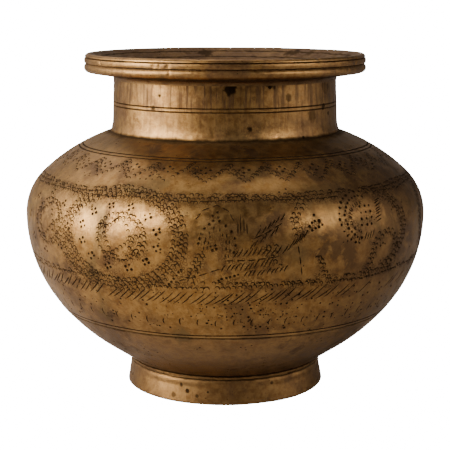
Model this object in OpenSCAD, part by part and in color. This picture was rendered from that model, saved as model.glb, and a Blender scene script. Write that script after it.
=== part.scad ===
// Lota: a round-bellied brass water pot with a collar neck, a cast three-bead rim
// and a foot ring. Five brass pieces, lapped into each other and brazed.
// Millimetres, +Z up. The origin is the centre of the foot ring's lower face,
// and every piece is turned about the Z axis.

/* [Belly] */
// Widest diameter of the belly
belly_d = 190; // [186:1:196]
// Height of the widest point above the foot's face
belly_z = 84; // [82:0.5:88]
// Thickness of the beaten wall
wall = 1.8; // [1.4:0.1:2.4]
// Radius of the tight roll from the belly into the shoulder
roll_r = 26.5; // [25:0.5:28]
// Sweep of that roll in degrees
roll_deg = 47; // [45:1:49]
// Radius of the flatter shoulder above the roll
shoulder_r = 85; // [78:1:95]
// Radius of the curve just below the widest point
lower_r = 67; // [64:1:70]
// Sweep of that curve in degrees
lower_deg = 36; // [34:1:38]
// Radius of the slacker curve that runs on towards the foot
hip_r = 91; // [86:1:96]
// Angle of the straight cone above the foot, from the horizontal
cone_deg = 34; // [32:1:36]
// Height of the seam between the bowl and the belly shell
seam_z = 40.6; // [34:0.2:48]
// Overlap of the stepped seam along the wall
seam_lap = 4; // [3:0.5:6]

/* [Foot] */
// Diameter of the foot ring at its lower edge
foot_d = 95.2; // [93:0.2:98]
// Diameter of the foot ring at its top edge
foot_top_d = 91.2; // [89:0.2:92]
// Thickness of the foot ring
foot_wall = 2.4; // [2:0.1:3]
// Radius of the worn lower edge
foot_edge_r = 0.9; // [0.5:0.1:1.1]
// Radius of the bead along the top edge
foot_bead_r = 0.7; // [0.5:0.1:0.9]
// Radius of the knuckle where the bowl turns flat inside the foot
knuckle_r = 18; // [12:1:24]

/* [Neck] */
// Outside diameter of the neck below the rim
neck_d = 105.2; // [104:0.2:106]
// How much wider the neck is at its lower end, before the flare
neck_taper = 1.8; // [0:0.2:2]
// Outside diameter of the neck where it sits on the shoulder
neck_base_d = 109; // [108:0.2:111]
// Height of the flare at the foot of the neck
neck_flare_h = 6; // [4:0.5:9]
// Thickness of the neck collar at its top
neck_wall = 1.6; // [1.2:0.1:2]
// Height of the shoulder's lip inside the neck
lip_h = 6; // [4:0.5:9]

/* [Rim] */
// Widest diameter of the rim
rim_d = 133; // [131:0.5:136]
// Height of the rim's crest, which is the height of the pot
rim_z = 158.6; // [157:0.2:161]
// Height of the rim's edge, from the lowest bead to the crest
rim_h = 8.9; // [8.5:0.1:9.3]
// Drop of the rim's underside from the lowest bead to the neck
rim_drop = 1.7; // [1.2:0.1:2.4]
// Radius of the lowest, fattest bead
low_bead_r = 2.3; // [2.1:0.1:2.5]
// Radius of the middle bead
mid_bead_r = 1.9; // [1.7:0.1:2.1]
// Radius of the crest bead
top_bead_r = 1.7; // [1.6:0.1:1.9]
// Depth of the two grooves between the beads
groove_depth = 1.2; // [0.8:0.1:1.5]
// Depth of the dish from the crest to the mouth
dish_depth = 6.6; // [5.5:0.1:7]
// Radius of the mouth's rounded edge
mouth_r = 3; // [2:0.1:4]
// Depth of the neck's seat in the rim
rim_seat = 1.5; // [1:0.1:2]

/* [Braze] */
// Leg of the braze fillets at the foot, the lip and the rim
braze_leg = 1.8; // [1.2:0.1:2.2]
// Width of the braze run along the inside of the seam
seam_braze_w = 4; // [3:0.5:5]
// Height of that run above the wall
seam_braze_h = 0.7; // [0.5:0.1:0.9]

/* [Hidden] */
$fn = 180;

brass = [0.71, 0.55, 0.32];
dark_brass = [0.60, 0.45, 0.25];
pale_brass = [0.76, 0.60, 0.37];
braze_metal = [0.79, 0.68, 0.42];

// Largest turn between two points of an arc, in degrees
arc_step = 4;
// Half height of the rim's middle bead
mid_half_h = 1.25;
// How far the lower groove bites into the lowest bead
groove_bite = 0.25;
// How far the crest bead stands back from the rim's widest radius
top_set_back = 0.4;

// ---- Curves. A point's angle is that of the wall's outward normal. ----

function polar(c, r, a) = [c[0] + r * cos(a), c[1] + r * sin(a)];

// Points of an arc about c from angle a0 to a1, both ends included
function arc(c, r, a0, a1) =
    let (n = max(2, ceil(abs(a1 - a0) / arc_step)))
    [for (i = [0 : n]) polar(c, r, a0 + (a1 - a0) * i / n)];

function reversed(list) = [for (i = [len(list) - 1 : -1 : 0]) list[i]];

// Angle that a length along an arc of radius r spans
function span(length, r) = length / r * 180 / PI;

function unit(v) = v / norm(v);

// Hollow curve of a fillet, from p to q, drawn in towards the corner
function hollow(p, corner, q) =
    [for (t = [0 : 0.2 : 1]) pow(1 - t, 2) * p + 2 * t * (1 - t) * corner + t * t * q];

// Centres of the belly's tangent arcs, each found from the arc that it runs into
roll_c = [belly_d / 2 - roll_r, belly_z];
shoulder_c = polar(roll_c, roll_r - shoulder_r, roll_deg);
lower_c = [belly_d / 2 - lower_r, belly_z];
hip_c = polar(lower_c, lower_r - hip_r, -lower_deg);
cone_a = cone_deg - 90;

// The wall's arcs from the cone to the neck: centre, outer radius, first and last angle
WALL_ARCS = [
    [hip_c, hip_r, cone_a, -lower_deg],
    [lower_c, lower_r, -lower_deg, 0],
    [roll_c, roll_r, 0, roll_deg],
    [shoulder_c, shoulder_r, roll_deg, 90]];

// The wall between two angles, at a depth in from the outside
function wall_line(a0, a1, depth) =
    [for (s = WALL_ARCS)
        let (from = max(a0, s[2]), to = min(a1, s[3]))
        if (to > from)
            each arc(s[0], s[1] - depth, from, to)];

// The wall's angle at height z, below its widest point
function wall_angle(z) =
    z < polar(hip_c, hip_r, -lower_deg)[1]
        ? asin((z - hip_c[1]) / hip_r)
        : asin((z - lower_c[1]) / lower_r);

// The point at radius r on the straight cone above the foot
function on_cone(r) =
    let (p = polar(hip_c, hip_r, cone_a))
    [r, p[1] - (p[0] - r) * tan(cone_deg)];

foot_r = foot_d / 2;
foot_top_r = foot_top_d / 2;
foot_seat = on_cone(foot_top_r - foot_wall);
knuckle_c = polar(foot_seat, -knuckle_r, cone_a);
bottom_z = knuckle_c[1] - knuckle_r;

seam_a = wall_angle(seam_z);
lap_a = seam_a + span(seam_lap, hip_r);

neck_r = neck_d / 2;
neck_in_r = neck_r - neck_wall;
neck_seat_a = acos((neck_base_d / 2 - shoulder_c[0]) / shoulder_r);
neck_seat_out = polar(shoulder_c, shoulder_r, neck_seat_a);
neck_seat_in = neck_seat_out + (neck_base_d / 2 - neck_in_r) * [-1, 1 / tan(neck_seat_a)];
lip_top = neck_seat_in[1] + lip_h;
neck_top = rim_z - rim_h - rim_drop + rim_seat;
rim_r = rim_d / 2;
rim_under = [neck_r, neck_top - rim_seat];
low_bead_c = [rim_r - low_bead_r, rim_z - rim_h + low_bead_r];
under_edge = polar(low_bead_c, low_bead_r, -80);

// Outside radius of the neck collar at height z
function neck_out_r(z) =
    let (base_z = neck_seat_out[1],
         flare = neck_base_d / 2 - neck_r - neck_taper / 2,
         low = max(0, 1 - (z - base_z) / neck_flare_h))
    neck_r + flare * low * low + neck_taper / 2 * (rim_under[1] - z) / (rim_under[1] - base_z);

// The bowl's wall from the flat bottom up to angle a1
function bowl_line(depth, a1) = concat(
    arc(knuckle_c, knuckle_r - depth, -90, cone_a),
    wall_line(cone_a, a1, depth));

module turned(points) {
    rotate_extrude() polygon(points);
}

// ---- Pieces ----

// Conical ring that carries the pot, with a bead along its top edge
module foot_ring() {
    top = on_cone(foot_top_r);
    lean = atan((foot_r - foot_top_r) / top[1]);
    bead_c = [foot_top_r, top[1] - foot_bead_r];
    edge_c = [foot_r - foot_edge_r, foot_edge_r];
    color(dark_brass)
        turned(concat(
            [[foot_r - foot_wall, 0]],
            arc(edge_c, foot_edge_r, -90, lean),
            [bead_c + [0.1, -foot_bead_r]],
            arc(bead_c, foot_bead_r, -60, 60),
            [top, foot_seat]));
}

// Braze inside the foot, between the ring and the knuckle of the bowl
module foot_braze() {
    on_bowl = arc(knuckle_c, knuckle_r, cone_a, cone_a - span(braze_leg, knuckle_r));
    on_ring = foot_seat + braze_leg * unit([foot_r - foot_wall, 0] - foot_seat);
    color(braze_metal)
        turned(concat(on_bowl, hollow(on_bowl[len(on_bowl) - 1], foot_seat, on_ring)));
}

// Bowl with the flat bottom, stepped on its outside to enter the belly shell
module bowl_bottom() {
    color(brass)
        turned(concat(
            [[0, bottom_z]],
            bowl_line(0, seam_a),
            wall_line(seam_a, lap_a, wall / 2),
            reversed(bowl_line(wall, lap_a)),
            [[0, bottom_z + wall]]));
}

// Flattened run of braze over the seam, on the inside of the wall
module seam_braze() {
    half = span(seam_braze_w / 2, hip_r);
    color(braze_metal)
        turned(concat(
            wall_line(lap_a - half, lap_a + half, wall),
            reversed(wall_line(lap_a - half / 2, lap_a + half / 2, wall + seam_braze_h))));
}

// Belly and shoulder, stepped on the inside of its lower edge, with a lip inside the neck
module belly_shell() {
    lip_in_r = neck_in_r - wall;
    inner_a = acos((lip_in_r - shoulder_c[0]) / (shoulder_r - wall));
    color(brass)
        turned(concat(
            wall_line(seam_a, neck_seat_a, 0),
            [neck_seat_in, [neck_in_r, lip_top], [lip_in_r, lip_top]],
            reversed(wall_line(lap_a, inner_a, wall)),
            reversed(wall_line(seam_a, lap_a, wall / 2))));
}

// Braze on top of the lip, inside the neck
module neck_braze() {
    corner = [neck_in_r, lip_top];
    leg = min(braze_leg, wall);
    color(braze_metal)
        turned(concat([corner], hollow(corner + [0, leg], corner, corner - [leg, 0])));
}

// Neck collar over the shoulder's lip, flared where it sits on the shoulder
module neck_collar() {
    base_z = neck_seat_out[1];
    flare_steps = 6;
    color(pale_brass)
        turned(concat(
            [neck_seat_in],
            [for (i = [0 : flare_steps])
                let (z = base_z + neck_flare_h * i / flare_steps) [neck_out_r(z), z]],
            [rim_under, [neck_r, neck_top], [neck_in_r, neck_top]]));
}

// Braze in the corner between the neck and the underside of the rim
module rim_braze() {
    low = rim_under[1] - braze_leg;
    color(braze_metal)
        turned(concat(
            [rim_under],
            hollow(rim_under + braze_leg * unit(under_edge - rim_under), rim_under,
                   [neck_out_r(low), low])));
}

// Cast rim: three beads on its edge, a dished top, and a seat for the neck
module rim_ring() {
    low_groove = [rim_r - groove_depth, low_bead_c[1] + low_bead_r - groove_bite];
    mid_c = [rim_r - mid_bead_r, low_groove[1] + mid_half_h];
    mid_a = asin(0.9 * mid_half_h / mid_bead_r);
    top_groove = low_groove + [0, 2 * mid_half_h];
    top_c = [rim_r - top_set_back - top_bead_r, rim_z - top_bead_r];
    mouth_c = [neck_in_r + mouth_r, rim_z - dish_depth - mouth_r / 2];
    color(dark_brass)
        turned(concat(
            [[neck_in_r, neck_top], [neck_r, neck_top], rim_under],
            arc(low_bead_c, low_bead_r, -80, 55),
            [low_groove],
            arc(mid_c, mid_bead_r, -mid_a, mid_a),
            [top_groove],
            arc(top_c, top_bead_r, -8, 116),
            arc(mouth_c, mouth_r, 116, 180)));
}

foot_ring();
foot_braze();
bowl_bottom();
seam_braze();
belly_shell();
neck_braze();
neck_collar();
rim_braze();
rim_ring();
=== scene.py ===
"""Looks of a brass lota: a round-bellied water pot with punched ornament, built round its CAD frame.

The frame gives the places and the outer sizes. Lengths in the shape functions are millimetres,
and make_mesh() turns them into metres. A wall's place is given by its outward normal's angle.
"""

import bpy
import numpy as np
from bpy.props import FloatProperty, FloatVectorProperty, IntProperty, PointerProperty
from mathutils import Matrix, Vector
from mathutils.geometry import delaunay_2d_cdt


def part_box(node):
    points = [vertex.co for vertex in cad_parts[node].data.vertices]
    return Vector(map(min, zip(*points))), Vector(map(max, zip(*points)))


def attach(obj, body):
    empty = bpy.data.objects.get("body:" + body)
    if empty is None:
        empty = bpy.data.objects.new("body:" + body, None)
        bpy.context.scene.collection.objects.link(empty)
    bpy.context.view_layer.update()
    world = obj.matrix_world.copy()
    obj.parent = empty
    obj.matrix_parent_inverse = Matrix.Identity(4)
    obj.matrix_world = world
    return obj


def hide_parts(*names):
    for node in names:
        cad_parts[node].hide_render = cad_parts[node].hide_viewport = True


bl_info = {
    "name": "Brass Lota",
    "version": (1, 0, 0),
    "blender": (4, 5, 0),
    "location": "View3D > Sidebar > Lota",
    "description": "Builds a punched brass water pot piece by piece",
    "category": "Add Mesh",
}

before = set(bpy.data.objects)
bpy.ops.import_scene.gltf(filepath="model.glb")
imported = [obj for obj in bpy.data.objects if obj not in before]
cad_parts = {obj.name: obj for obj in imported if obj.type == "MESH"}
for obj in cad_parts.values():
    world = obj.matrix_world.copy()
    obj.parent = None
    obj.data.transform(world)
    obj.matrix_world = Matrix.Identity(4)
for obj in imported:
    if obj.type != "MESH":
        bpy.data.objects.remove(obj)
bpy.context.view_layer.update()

MM = 0.001
TAU = 2 * np.pi


def node_mm(node):
    """Largest radius, lowest z and highest z of a CAD node, in millimetres."""
    low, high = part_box(node)
    return high[0] / MM, low[2] / MM, high[2] / MM


BELLY_R = node_mm("belly_shell")[0]
SEAM_Z = node_mm("belly_shell")[1]
RIM_R, NECK_SEAT_TOP, RIM_Z = node_mm("rim_ring")
FOOT_R, _, FOOT_TOP = node_mm("foot_ring")


# ---- Settings -------------------------------------------------------------------------------


class BellySettings(bpy.types.PropertyGroup):
    """Sizes of the beaten belly and of the turned pieces, in millimetres."""

    belly_z: FloatProperty(name="Belly height", description="Height of the widest point", default=84.0)
    wall: FloatProperty(name="Wall", description="Thickness of the beaten wall", default=1.8, min=1.0)
    dent: FloatProperty(name="Dents", description="Depth of the dents and waves left by use", default=0.3)
    neck_r: FloatProperty(name="Neck radius", description="Outside radius under the rim", default=52.6)
    neck_base_r: FloatProperty(name="Neck base", description="Radius on the shoulder", default=54.5)
    neck_wall: FloatProperty(name="Neck wall", description="Thickness of the neck", default=1.6)
    nick: FloatProperty(name="Nicks", description="Depth of the nicks in the rim's beads", default=0.35)


class PunchSettings(bpy.types.PropertyGroup):
    """Sizes of the punches and the layout of the ornament."""

    crescent: FloatProperty(name="Crescent", description="Width of the crescent punch, mm", default=2.0)
    stroke: FloatProperty(name="Stroke", description="Half width of a cut line, mm", default=0.27)
    depth: FloatProperty(name="Depth", description="Depth of the marks, mm", default=0.1)
    dot: FloatProperty(name="Dot", description="Radius of the dot punch, mm", default=0.62)
    seed: IntProperty(name="Seed", description="Seed of the hand's unevenness", default=7)
    festoons: IntProperty(name="Festoons", description="Swags round the shoulder", default=29)


class BrassSettings(bpy.types.PropertyGroup):
    """Colours of the aged brass."""

    bright: FloatVectorProperty(
        name="Bright",
        description="Worn brass",
        subtype="COLOR",
        size=4,
        default=(0.61, 0.338, 0.11, 1),
    )
    mid: FloatVectorProperty(
        name="Golden brown",
        description="Aged brass",
        subtype="COLOR",
        size=4,
        default=(0.355, 0.167, 0.043, 1),
    )
    red: FloatVectorProperty(
        name="Red brown",
        description="Copper patina",
        subtype="COLOR",
        size=4,
        default=(0.135, 0.072, 0.036, 1),
    )
    olive: FloatVectorProperty(
        name="Olive",
        description="Greenish stain",
        subtype="COLOR",
        size=4,
        default=(0.14, 0.10, 0.04, 1),
    )
    stain: FloatVectorProperty(
        name="Stain",
        description="Small dark stains",
        subtype="COLOR",
        size=4,
        default=(0.075, 0.036, 0.02, 1),
    )
    # Dark colour of the dirt in the cuts, also painted on as shade in creases, under the rim and on the
    # shaded side.
    dirt: FloatVectorProperty(
        name="Dirt",
        description="Dirt in the cuts",
        subtype="COLOR",
        size=4,
        default=(0.022, 0.011, 0.004, 1),
    )


class StageSettings(bpy.types.PropertyGroup):
    """Camera, lights and floor."""

    distance: FloatProperty(
        name="Distance", description="From the axis to the camera", default=0.6034, subtype="DISTANCE"
    )
    height: FloatProperty(name="Height", description="Camera height", default=0.1851, subtype="DISTANCE")
    pitch: FloatProperty(name="Pitch", description="Camera tilt, 90 is level", default=79.72)
    lens: FloatProperty(name="Lens", description="Focal length, mm", default=101.4)
    key: FloatProperty(name="Key", description="Power shared by the left softboxes, W", default=19.0)
    fill: FloatProperty(name="Fill", description="Power of the right softboxes, W", default=1.3)
    top: FloatProperty(name="Top", description="Power of the softbox overhead, W", default=1.0)
    sky: FloatProperty(name="Room", description="Brightness of the room", default=0.045)


# ---- Sections -------------------------------------------------------------------------------


def polar(centre, radius, degrees):
    """The point at an angle on a circle, as (r, z)."""
    a = np.radians(degrees)
    return np.array([centre[0] + radius * np.cos(a), centre[1] + radius * np.sin(a)])


def arc(centre, radius, first, last, step=4.0):
    """Rows (r, z) on a circle from one angle to another, both ends included."""
    count = max(2, int(np.ceil(abs(last - first) / step))) + 1
    a = np.radians(np.linspace(first, last, count))
    return np.stack([centre[0] + radius * np.cos(a), centre[1] + radius * np.sin(a)], -1)


def line(start, end, step=1.0):
    """Rows (r, z) on a straight line, both ends included."""
    start, end = np.asarray(start, float), np.asarray(end, float)
    count = max(1, int(np.ceil(np.linalg.norm(end - start) / step))) + 1
    return start + (end - start) * np.linspace(0, 1, count)[:, None]


# Points closer than this are one point
SAME_MM = 0.01


def joined(*runs):
    """Runs of (r, z) rows one after another, without the points that repeat, nor the first at the end."""
    rows = np.concatenate([np.atleast_2d(run) for run in runs])
    far = np.linalg.norm(np.diff(rows, axis=0), axis=1) > SAME_MM
    rows = rows[np.concatenate([[True], far])]
    closed = np.linalg.norm(rows[0] - rows[-1]) < SAME_MM
    return rows[:-1] if closed else rows


# The wall's arcs up and down from its widest point: radii in mm, and the angles where they end
ROLL_R, ROLL_DEG = 26.5, 47.0
SHOULDER_R = 85.0
LOWER_R, LOWER_DEG = 67.0, 36.0
HIP_R = 91.0
# The slope of the cone under the hip, and the knuckle round the flat bottom
CONE_DEG = 34.0
KNUCKLE_R = 18.0
# Height of the stepped lap over the seam and of the lip inside the neck
LAP = 4.0
LIP_H = 6.0


class Wall:
    """The beaten wall's outer curve: tangent arcs, walked by arc length from the seam."""

    def __init__(self, sizes):
        self.roll_c = np.array([BELLY_R - ROLL_R, sizes.belly_z])
        self.shoulder_c = polar(self.roll_c, ROLL_R - SHOULDER_R, ROLL_DEG)
        self.lower_c = np.array([BELLY_R - LOWER_R, sizes.belly_z])
        self.hip_c = polar(self.lower_c, LOWER_R - HIP_R, -LOWER_DEG)
        self.cone_a = CONE_DEG - 90
        self.seam_a = np.degrees(np.arcsin((SEAM_Z - self.hip_c[1]) / HIP_R))
        self.lap_a = self.seam_a + np.degrees(LAP / HIP_R)
        self.neck_a = np.degrees(np.arccos((sizes.neck_base_r - self.shoulder_c[0]) / SHOULDER_R))
        self.arcs = [
            (self.hip_c, HIP_R, self.cone_a, -LOWER_DEG),
            (self.lower_c, LOWER_R, -LOWER_DEG, 0.0),
            (self.roll_c, ROLL_R, 0.0, ROLL_DEG),
            (self.shoulder_c, SHOULDER_R, ROLL_DEG, 90.0),
        ]
        self.top = self.length(self.neck_a)

    def length(self, angle):
        """Arc length from the seam up to the point whose normal has this angle."""
        total = 0.0
        for _centre, radius, first, last in self.arcs:
            low, high = max(first, self.seam_a), min(last, angle)
            if high > low:
                total += radius * np.radians(high - low)
        return total

    def at(self, s):
        """(r, z, angle in radians) at arc length s above the seam, for a whole array."""
        s = np.asarray(s, float)
        r, z, a = np.empty_like(s), np.empty_like(s), np.empty_like(s)
        for i, (centre, radius, first, _last) in enumerate(self.arcs):
            low = max(first, self.seam_a)
            start = self.length(low)
            here = s >= start if i else np.full(s.shape, True)
            angle = np.radians(low) + (s - start) / radius
            r = np.where(here, centre[0] + radius * np.cos(angle), r)
            z = np.where(here, centre[1] + radius * np.sin(angle), z)
            a = np.where(here, angle, a)
        return r, z, a

    def section(self, first, last, depth, step=3.0):
        """Rows (r, z) of the wall between two angles, at a depth in from the outside."""
        runs = []
        for centre, radius, low, high in self.arcs:
            start, end = max(first, low), min(last, high)
            if end > start:
                runs.append(arc(centre, radius - depth, start, end, step))
        return joined(*runs)


def handmade(theta, z, seed, size):
    """Slow waves of a hand-worked surface: a sum of cosines round the axis and up it, from about 0 to
    size."""
    rng = np.random.default_rng(seed)
    total = np.zeros(np.broadcast(theta, z).shape)
    for turns in (1, 2, 3, 4, 6, 9):
        total += np.cos(turns * theta + rng.uniform(0, 0.09) * z + rng.uniform(0, TAU)) / np.sqrt(turns)
    return size * (0.5 + 0.5 * total / 3.0)


# ---- Meshes ---------------------------------------------------------------------------------


def unit(vectors):
    """Vectors scaled to length 1."""
    return vectors / np.maximum(np.linalg.norm(vectors, axis=-1, keepdims=True), 1e-12)


def turn_from(theta, degrees):
    """The angle in radians, from -pi to pi, by which theta lies past a direction in degrees."""
    return np.angle(np.exp(1j * (theta - np.radians(degrees))))


def make_mesh(name, points, faces, sizes):
    """A new object at the origin from points in mm, a flat list of corners and each face's size."""
    mesh = bpy.data.meshes.new(name)
    mesh.vertices.add(len(points))
    mesh.vertices.foreach_set("co", (np.asarray(points) * MM).astype(np.float32).ravel())
    mesh.loops.add(len(faces))
    mesh.loops.foreach_set("vertex_index", np.asarray(faces, np.int32))
    mesh.polygons.add(len(sizes))
    sizes = np.asarray(sizes, np.int32)
    mesh.polygons.foreach_set("loop_start", np.cumsum(sizes) - sizes)
    mesh.polygons.foreach_set("loop_total", sizes)
    mesh.update(calc_edges=True)
    mesh.validate()
    piece = bpy.data.objects.new(name, mesh)
    bpy.context.scene.collection.objects.link(piece)
    return piece


def compact(name, points, corners, sizes):
    """A new object as from make_mesh(), without the points that no face uses, and the used points."""
    used = np.unique(corners)
    lookup = np.zeros(len(points), int)
    lookup[used] = np.arange(len(used))
    return make_mesh(name, points[used], lookup[corners], sizes), used


def set_numbers(mesh, name, domain, values):
    """A named number for every point or corner of a mesh."""
    layer = mesh.attributes.new(name, "FLOAT", domain)
    layer.data.foreach_set("value", values.astype(np.float32))


def shade(piece, degrees=32.0):
    """Smooth shading, with edges sharper than an angle left crisp."""
    piece.data.shade_smooth()
    piece.data.set_sharp_from_angle(angle=np.radians(degrees))
    return piece


def turned(name, section, segments, shape=None):
    """A solid of revolution. Each point of the section (r, z), walked so that the outside lies on its
    right, goes round the axis: x = r sin t, y = -r cos t, z = z. shape(t, r, z) gives the uneven
    hand's change of r and z. A section that starts and ends on the axis gets one vertex at each pole,
    and any other section is closed into a ring."""
    theta = np.arange(segments) * TAU / segments
    t, r = np.meshgrid(theta, section[:, 0], indexing="ij")
    z = np.broadcast_to(section[:, 1], r.shape)
    if shape is not None:
        change_r, change_z = shape(t, r, z)
        r, z = r + change_r, z + change_z
    points = np.stack([r * np.sin(t), -r * np.cos(t), z], -1)
    rows = len(section)
    poles = bool(section[0, 0] < SAME_MM and section[-1, 0] < SAME_MM)
    ids = np.arange(segments * rows).reshape(segments, rows)
    if poles:
        points[:, 0] = points[:, 0].mean(0)
        points[:, -1] = points[:, -1].mean(0)
        ids[:, 0] = ids[0, 0]
        ids[:, -1] = ids[0, -1]
    nxt = np.roll(ids, -1, axis=0)
    if poles:
        quads = np.stack([ids[:, 1:-2], nxt[:, 1:-2], nxt[:, 2:-1], ids[:, 2:-1]], -1).reshape(-1, 4)
        start = np.stack([ids[:, 0], nxt[:, 1], ids[:, 1]], -1)
        end = np.stack([ids[:, -1], ids[:, -2], nxt[:, -2]], -1)
        corners = np.concatenate([quads.ravel(), start.ravel(), end.ravel()])
        sizes = np.concatenate([np.full(len(quads), 4), np.full(2 * segments, 3)])
        return compact(name, points.reshape(-1, 3), corners, sizes)[0]
    up, up_next = np.roll(ids, -1, axis=1), np.roll(nxt, -1, axis=1)
    quads = np.stack([ids, nxt, up_next, up], -1).reshape(-1, 4)
    return make_mesh(name, points.reshape(-1, 3), quads.ravel(), np.full(len(quads), 4))


# ---- Punched ornament -----------------------------------------------------------------------

# The flat pattern gives every degree this many mm, and a mark's centreline has this many points
DEG_MM = 1.5
MARK_POINTS = 5
# The crescent punch: half its sweep in degrees, its height to a circle's, and how far it is set down
CRESCENT_SWEEP = 82
CRESCENT_TALL = 1.45
CRESCENT_DROP = 0.55
# Longest stroke of a long engraved line, mm
CURVE_STROKE = 4.5


def stretch(wall, s):
    """How far across one mm on the wall reaches in the flat, at height s."""
    return DEG_MM * 180 / np.pi / wall.at(s)[0]


class Punches:
    """Marks as centrelines of five points in the flat of the belly: across, in units of DEG_MM mm to a
    degree, and up from the seam in mm. Across is stretched so that a mark keeps its size on the wall."""

    def __init__(self, wall, punch):
        self.wall = wall
        self.punch = punch
        self.rng = np.random.default_rng(punch.seed)
        self.lines = []
        self.dots = []
        self.pits = []

    def uneven(self, shape, size):
        """The hand's unevenness: a normal spread."""
        return self.rng.normal(0, size, shape)

    def crescents(self, theta, s, width=None, turn=-20.0, loose=1.0):
        """Crescent punches at places in degrees and mm: tall half circles, open below."""
        theta, s = np.broadcast_arrays(np.asarray(theta, float), np.asarray(s, float))
        n = theta.size
        theta = theta.ravel() + self.uneven(n, 0.12 * loose)
        s = s.ravel() + self.uneven(n, 0.18 * loose)
        radius = (width or self.punch.crescent) / 2 * (1 + self.uneven(n, 0.08))
        bow = np.radians(np.linspace(-CRESCENT_SWEEP, CRESCENT_SWEEP, MARK_POINTS))[None]
        lean = np.radians(turn + self.uneven(n, 9 * loose))[:, None]
        across = radius[:, None] * np.sin(bow)
        up = CRESCENT_TALL * radius[:, None] * (np.cos(bow) - CRESCENT_DROP)
        sideways = across * np.cos(lean) - up * np.sin(lean)
        upward = across * np.sin(lean) + up * np.cos(lean)
        self.add(theta, s, sideways, upward)

    def strokes(self, theta, s, across, up, bow=0.0, loose=1.0):
        """Chisel strokes from a place, going across and up by given mm, bowed sideways by bow mm."""
        theta, s, across, up = np.broadcast_arrays(*(np.asarray(x, float) for x in (theta, s, across, up)))
        n = theta.size
        across = across.ravel() * (1 + self.uneven(n, 0.07 * loose))
        up = up.ravel() * (1 + self.uneven(n, 0.07 * loose))
        theta = theta.ravel() + self.uneven(n, 0.12 * loose)
        s = s.ravel() + self.uneven(n, 0.25 * loose)
        t = np.linspace(0, 1, MARK_POINTS)[None]
        length = np.hypot(across, up)[:, None]
        hump = bow * 4 * t * (1 - t)
        sideways = across[:, None] * t + hump * up[:, None] / length
        upward = up[:, None] * t - hump * across[:, None] / length
        self.add(theta, s, sideways, upward)

    def add(self, theta, s, across, up):
        """Keeps centrelines given round places in degrees and mm."""
        wide = stretch(self.wall, s)[:, None]
        self.lines.append(np.stack([theta[:, None] * DEG_MM + across * wide, s[:, None] + up], -1))

    def curve(self, thetas, heights, gap=0.25):
        """A long thin engraved line through a few places, cut into strokes that nearly touch."""
        t = np.linspace(0, 1, len(thetas))
        length = np.hypot(np.diff(thetas) * DEG_MM, np.diff(heights)).sum()
        pieces = max(1, int(round(length / CURVE_STROKE)))
        edges = np.linspace(0, 1, pieces + 1)
        inset = gap / length
        u = edges[:-1, None] + inset + (1 / pieces - 2 * inset) * np.linspace(0, 1, MARK_POINTS)[None]
        across = np.interp(u, t, thetas) * DEG_MM
        up = np.interp(u, t, heights)
        self.lines.append(np.stack([across, up], -1))

    def dot(self, theta, s, size=1.0, loose=1.0, pit=False):
        """Round punches, or pits that give way to other marks, at places in degrees and mm."""
        theta, s = np.broadcast_arrays(np.asarray(theta, float), np.asarray(s, float))
        n = theta.size
        radius = size * self.punch.dot * (1 + self.uneven(n, 0.12))
        across = (theta.ravel() + self.uneven(n, 0.1 * loose)) * DEG_MM
        up = s.ravel() + self.uneven(n, 0.12 * loose)
        (self.pits if pit else self.dots).append(np.stack([across, up, radius], -1))


def ellipse(centre, half_deg, half_mm, count, first=0.0, last=360.0):
    """Places spread along an ellipse, clockwise from the top, in degrees across and mm up."""
    whole = abs(last - first) >= 360
    a = np.radians(np.linspace(first, last, count, endpoint=not whole))
    return centre[0] + half_deg * np.sin(a), centre[1] + half_mm * np.cos(a)


def spread(start, end, count):
    """Evenly spaced places from one to another, both ends included."""
    return np.linspace(start[0], end[0], count), np.linspace(start[1], end[1], count)


# Half width and half height of a medallion's inner oval, and the height of the frieze's middle
MEDALLION_DEG, MEDALLION_MM = 15.8, 18.7
FRIEZE_MID = 49.0
# Places round the pot, in degrees from the front
FRONT_MEDALLION = -28.6
MEDALLIONS = (87.0, 160.0, -101.0)
LEAVES = (-2.1, 113.0, -132.5)
FAN = 39.3
# Heights of the borders above the seam, mm
UPPER_ROWS = 66.2
LOWER_ROWS = (28.9, 30.6)
SLANTS = 20.6
TICKS = 8.2
# The swags on the shoulder: their top and how far they hang, mm
SWAG_TOP = 85.6
SWAG_DROP = 8.9
# Pits scattered round the lower belly, and those crowded at its front
LOWER_PITS = 420
FRONT_PITS = 150


def medallion(cut, centre, thick=3):
    """An oval field: rows of crescents round it, a flower ring in it and groups of dots between."""
    for row in range(thick):
        half_deg, half_mm = MEDALLION_DEG + 1.05 * row, MEDALLION_MM + 1.6 * row
        start = 2.6 * row
        cut.crescents(*ellipse(centre, half_deg, half_mm, 64 + 4 * row, start, start + 360))
    flower(cut, (centre[0] + 0.9, centre[1]))
    for angle in np.arange(15, 375, 30):
        at = ellipse(centre, 11.8, 13.6, 1, angle, angle)
        dot_group(cut, at[0][0], at[1][0], 4 if angle % 60 else 3)


def flower(cut, centre):
    """A ring of crescents, doubled on its right, crossed by three bows of crescents."""
    x, y = centre
    cut.crescents(*ellipse(centre, 7.2, 10.2, 33))
    cut.crescents(*ellipse(centre, 6.1, 8.7, 13, 25, 160))
    cut.crescents(*spread((x - 5.6, y + 4.6), (x - 2.6, y - 8.2), 8))
    cut.crescents(*spread((x - 2.0, y - 6.6), (x + 6.0, y + 2.4), 8))
    cut.crescents(*spread((x - 5.0, y + 3.4), (x + 0.8, y + 8.6), 7))
    cut.crescents(*spread((x + 1.6, y + 5.2), (x + 3.6, y - 1.6), 4))
    cut.crescents(*spread((x + 3.0, y - 4.0), (x + 4.6, y - 7.4), 3))
    cut.crescents(*spread((x - 4.6, y - 7.0), (x - 1.4, y - 8.4), 4))


def dot_group(cut, theta, s, count):
    """Three or four dots close together."""
    corners = np.radians(np.arange(count) * 360 / count + 20)
    cut.dot(theta + 0.85 * np.sin(corners), s + 1.25 * np.cos(corners))


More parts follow.
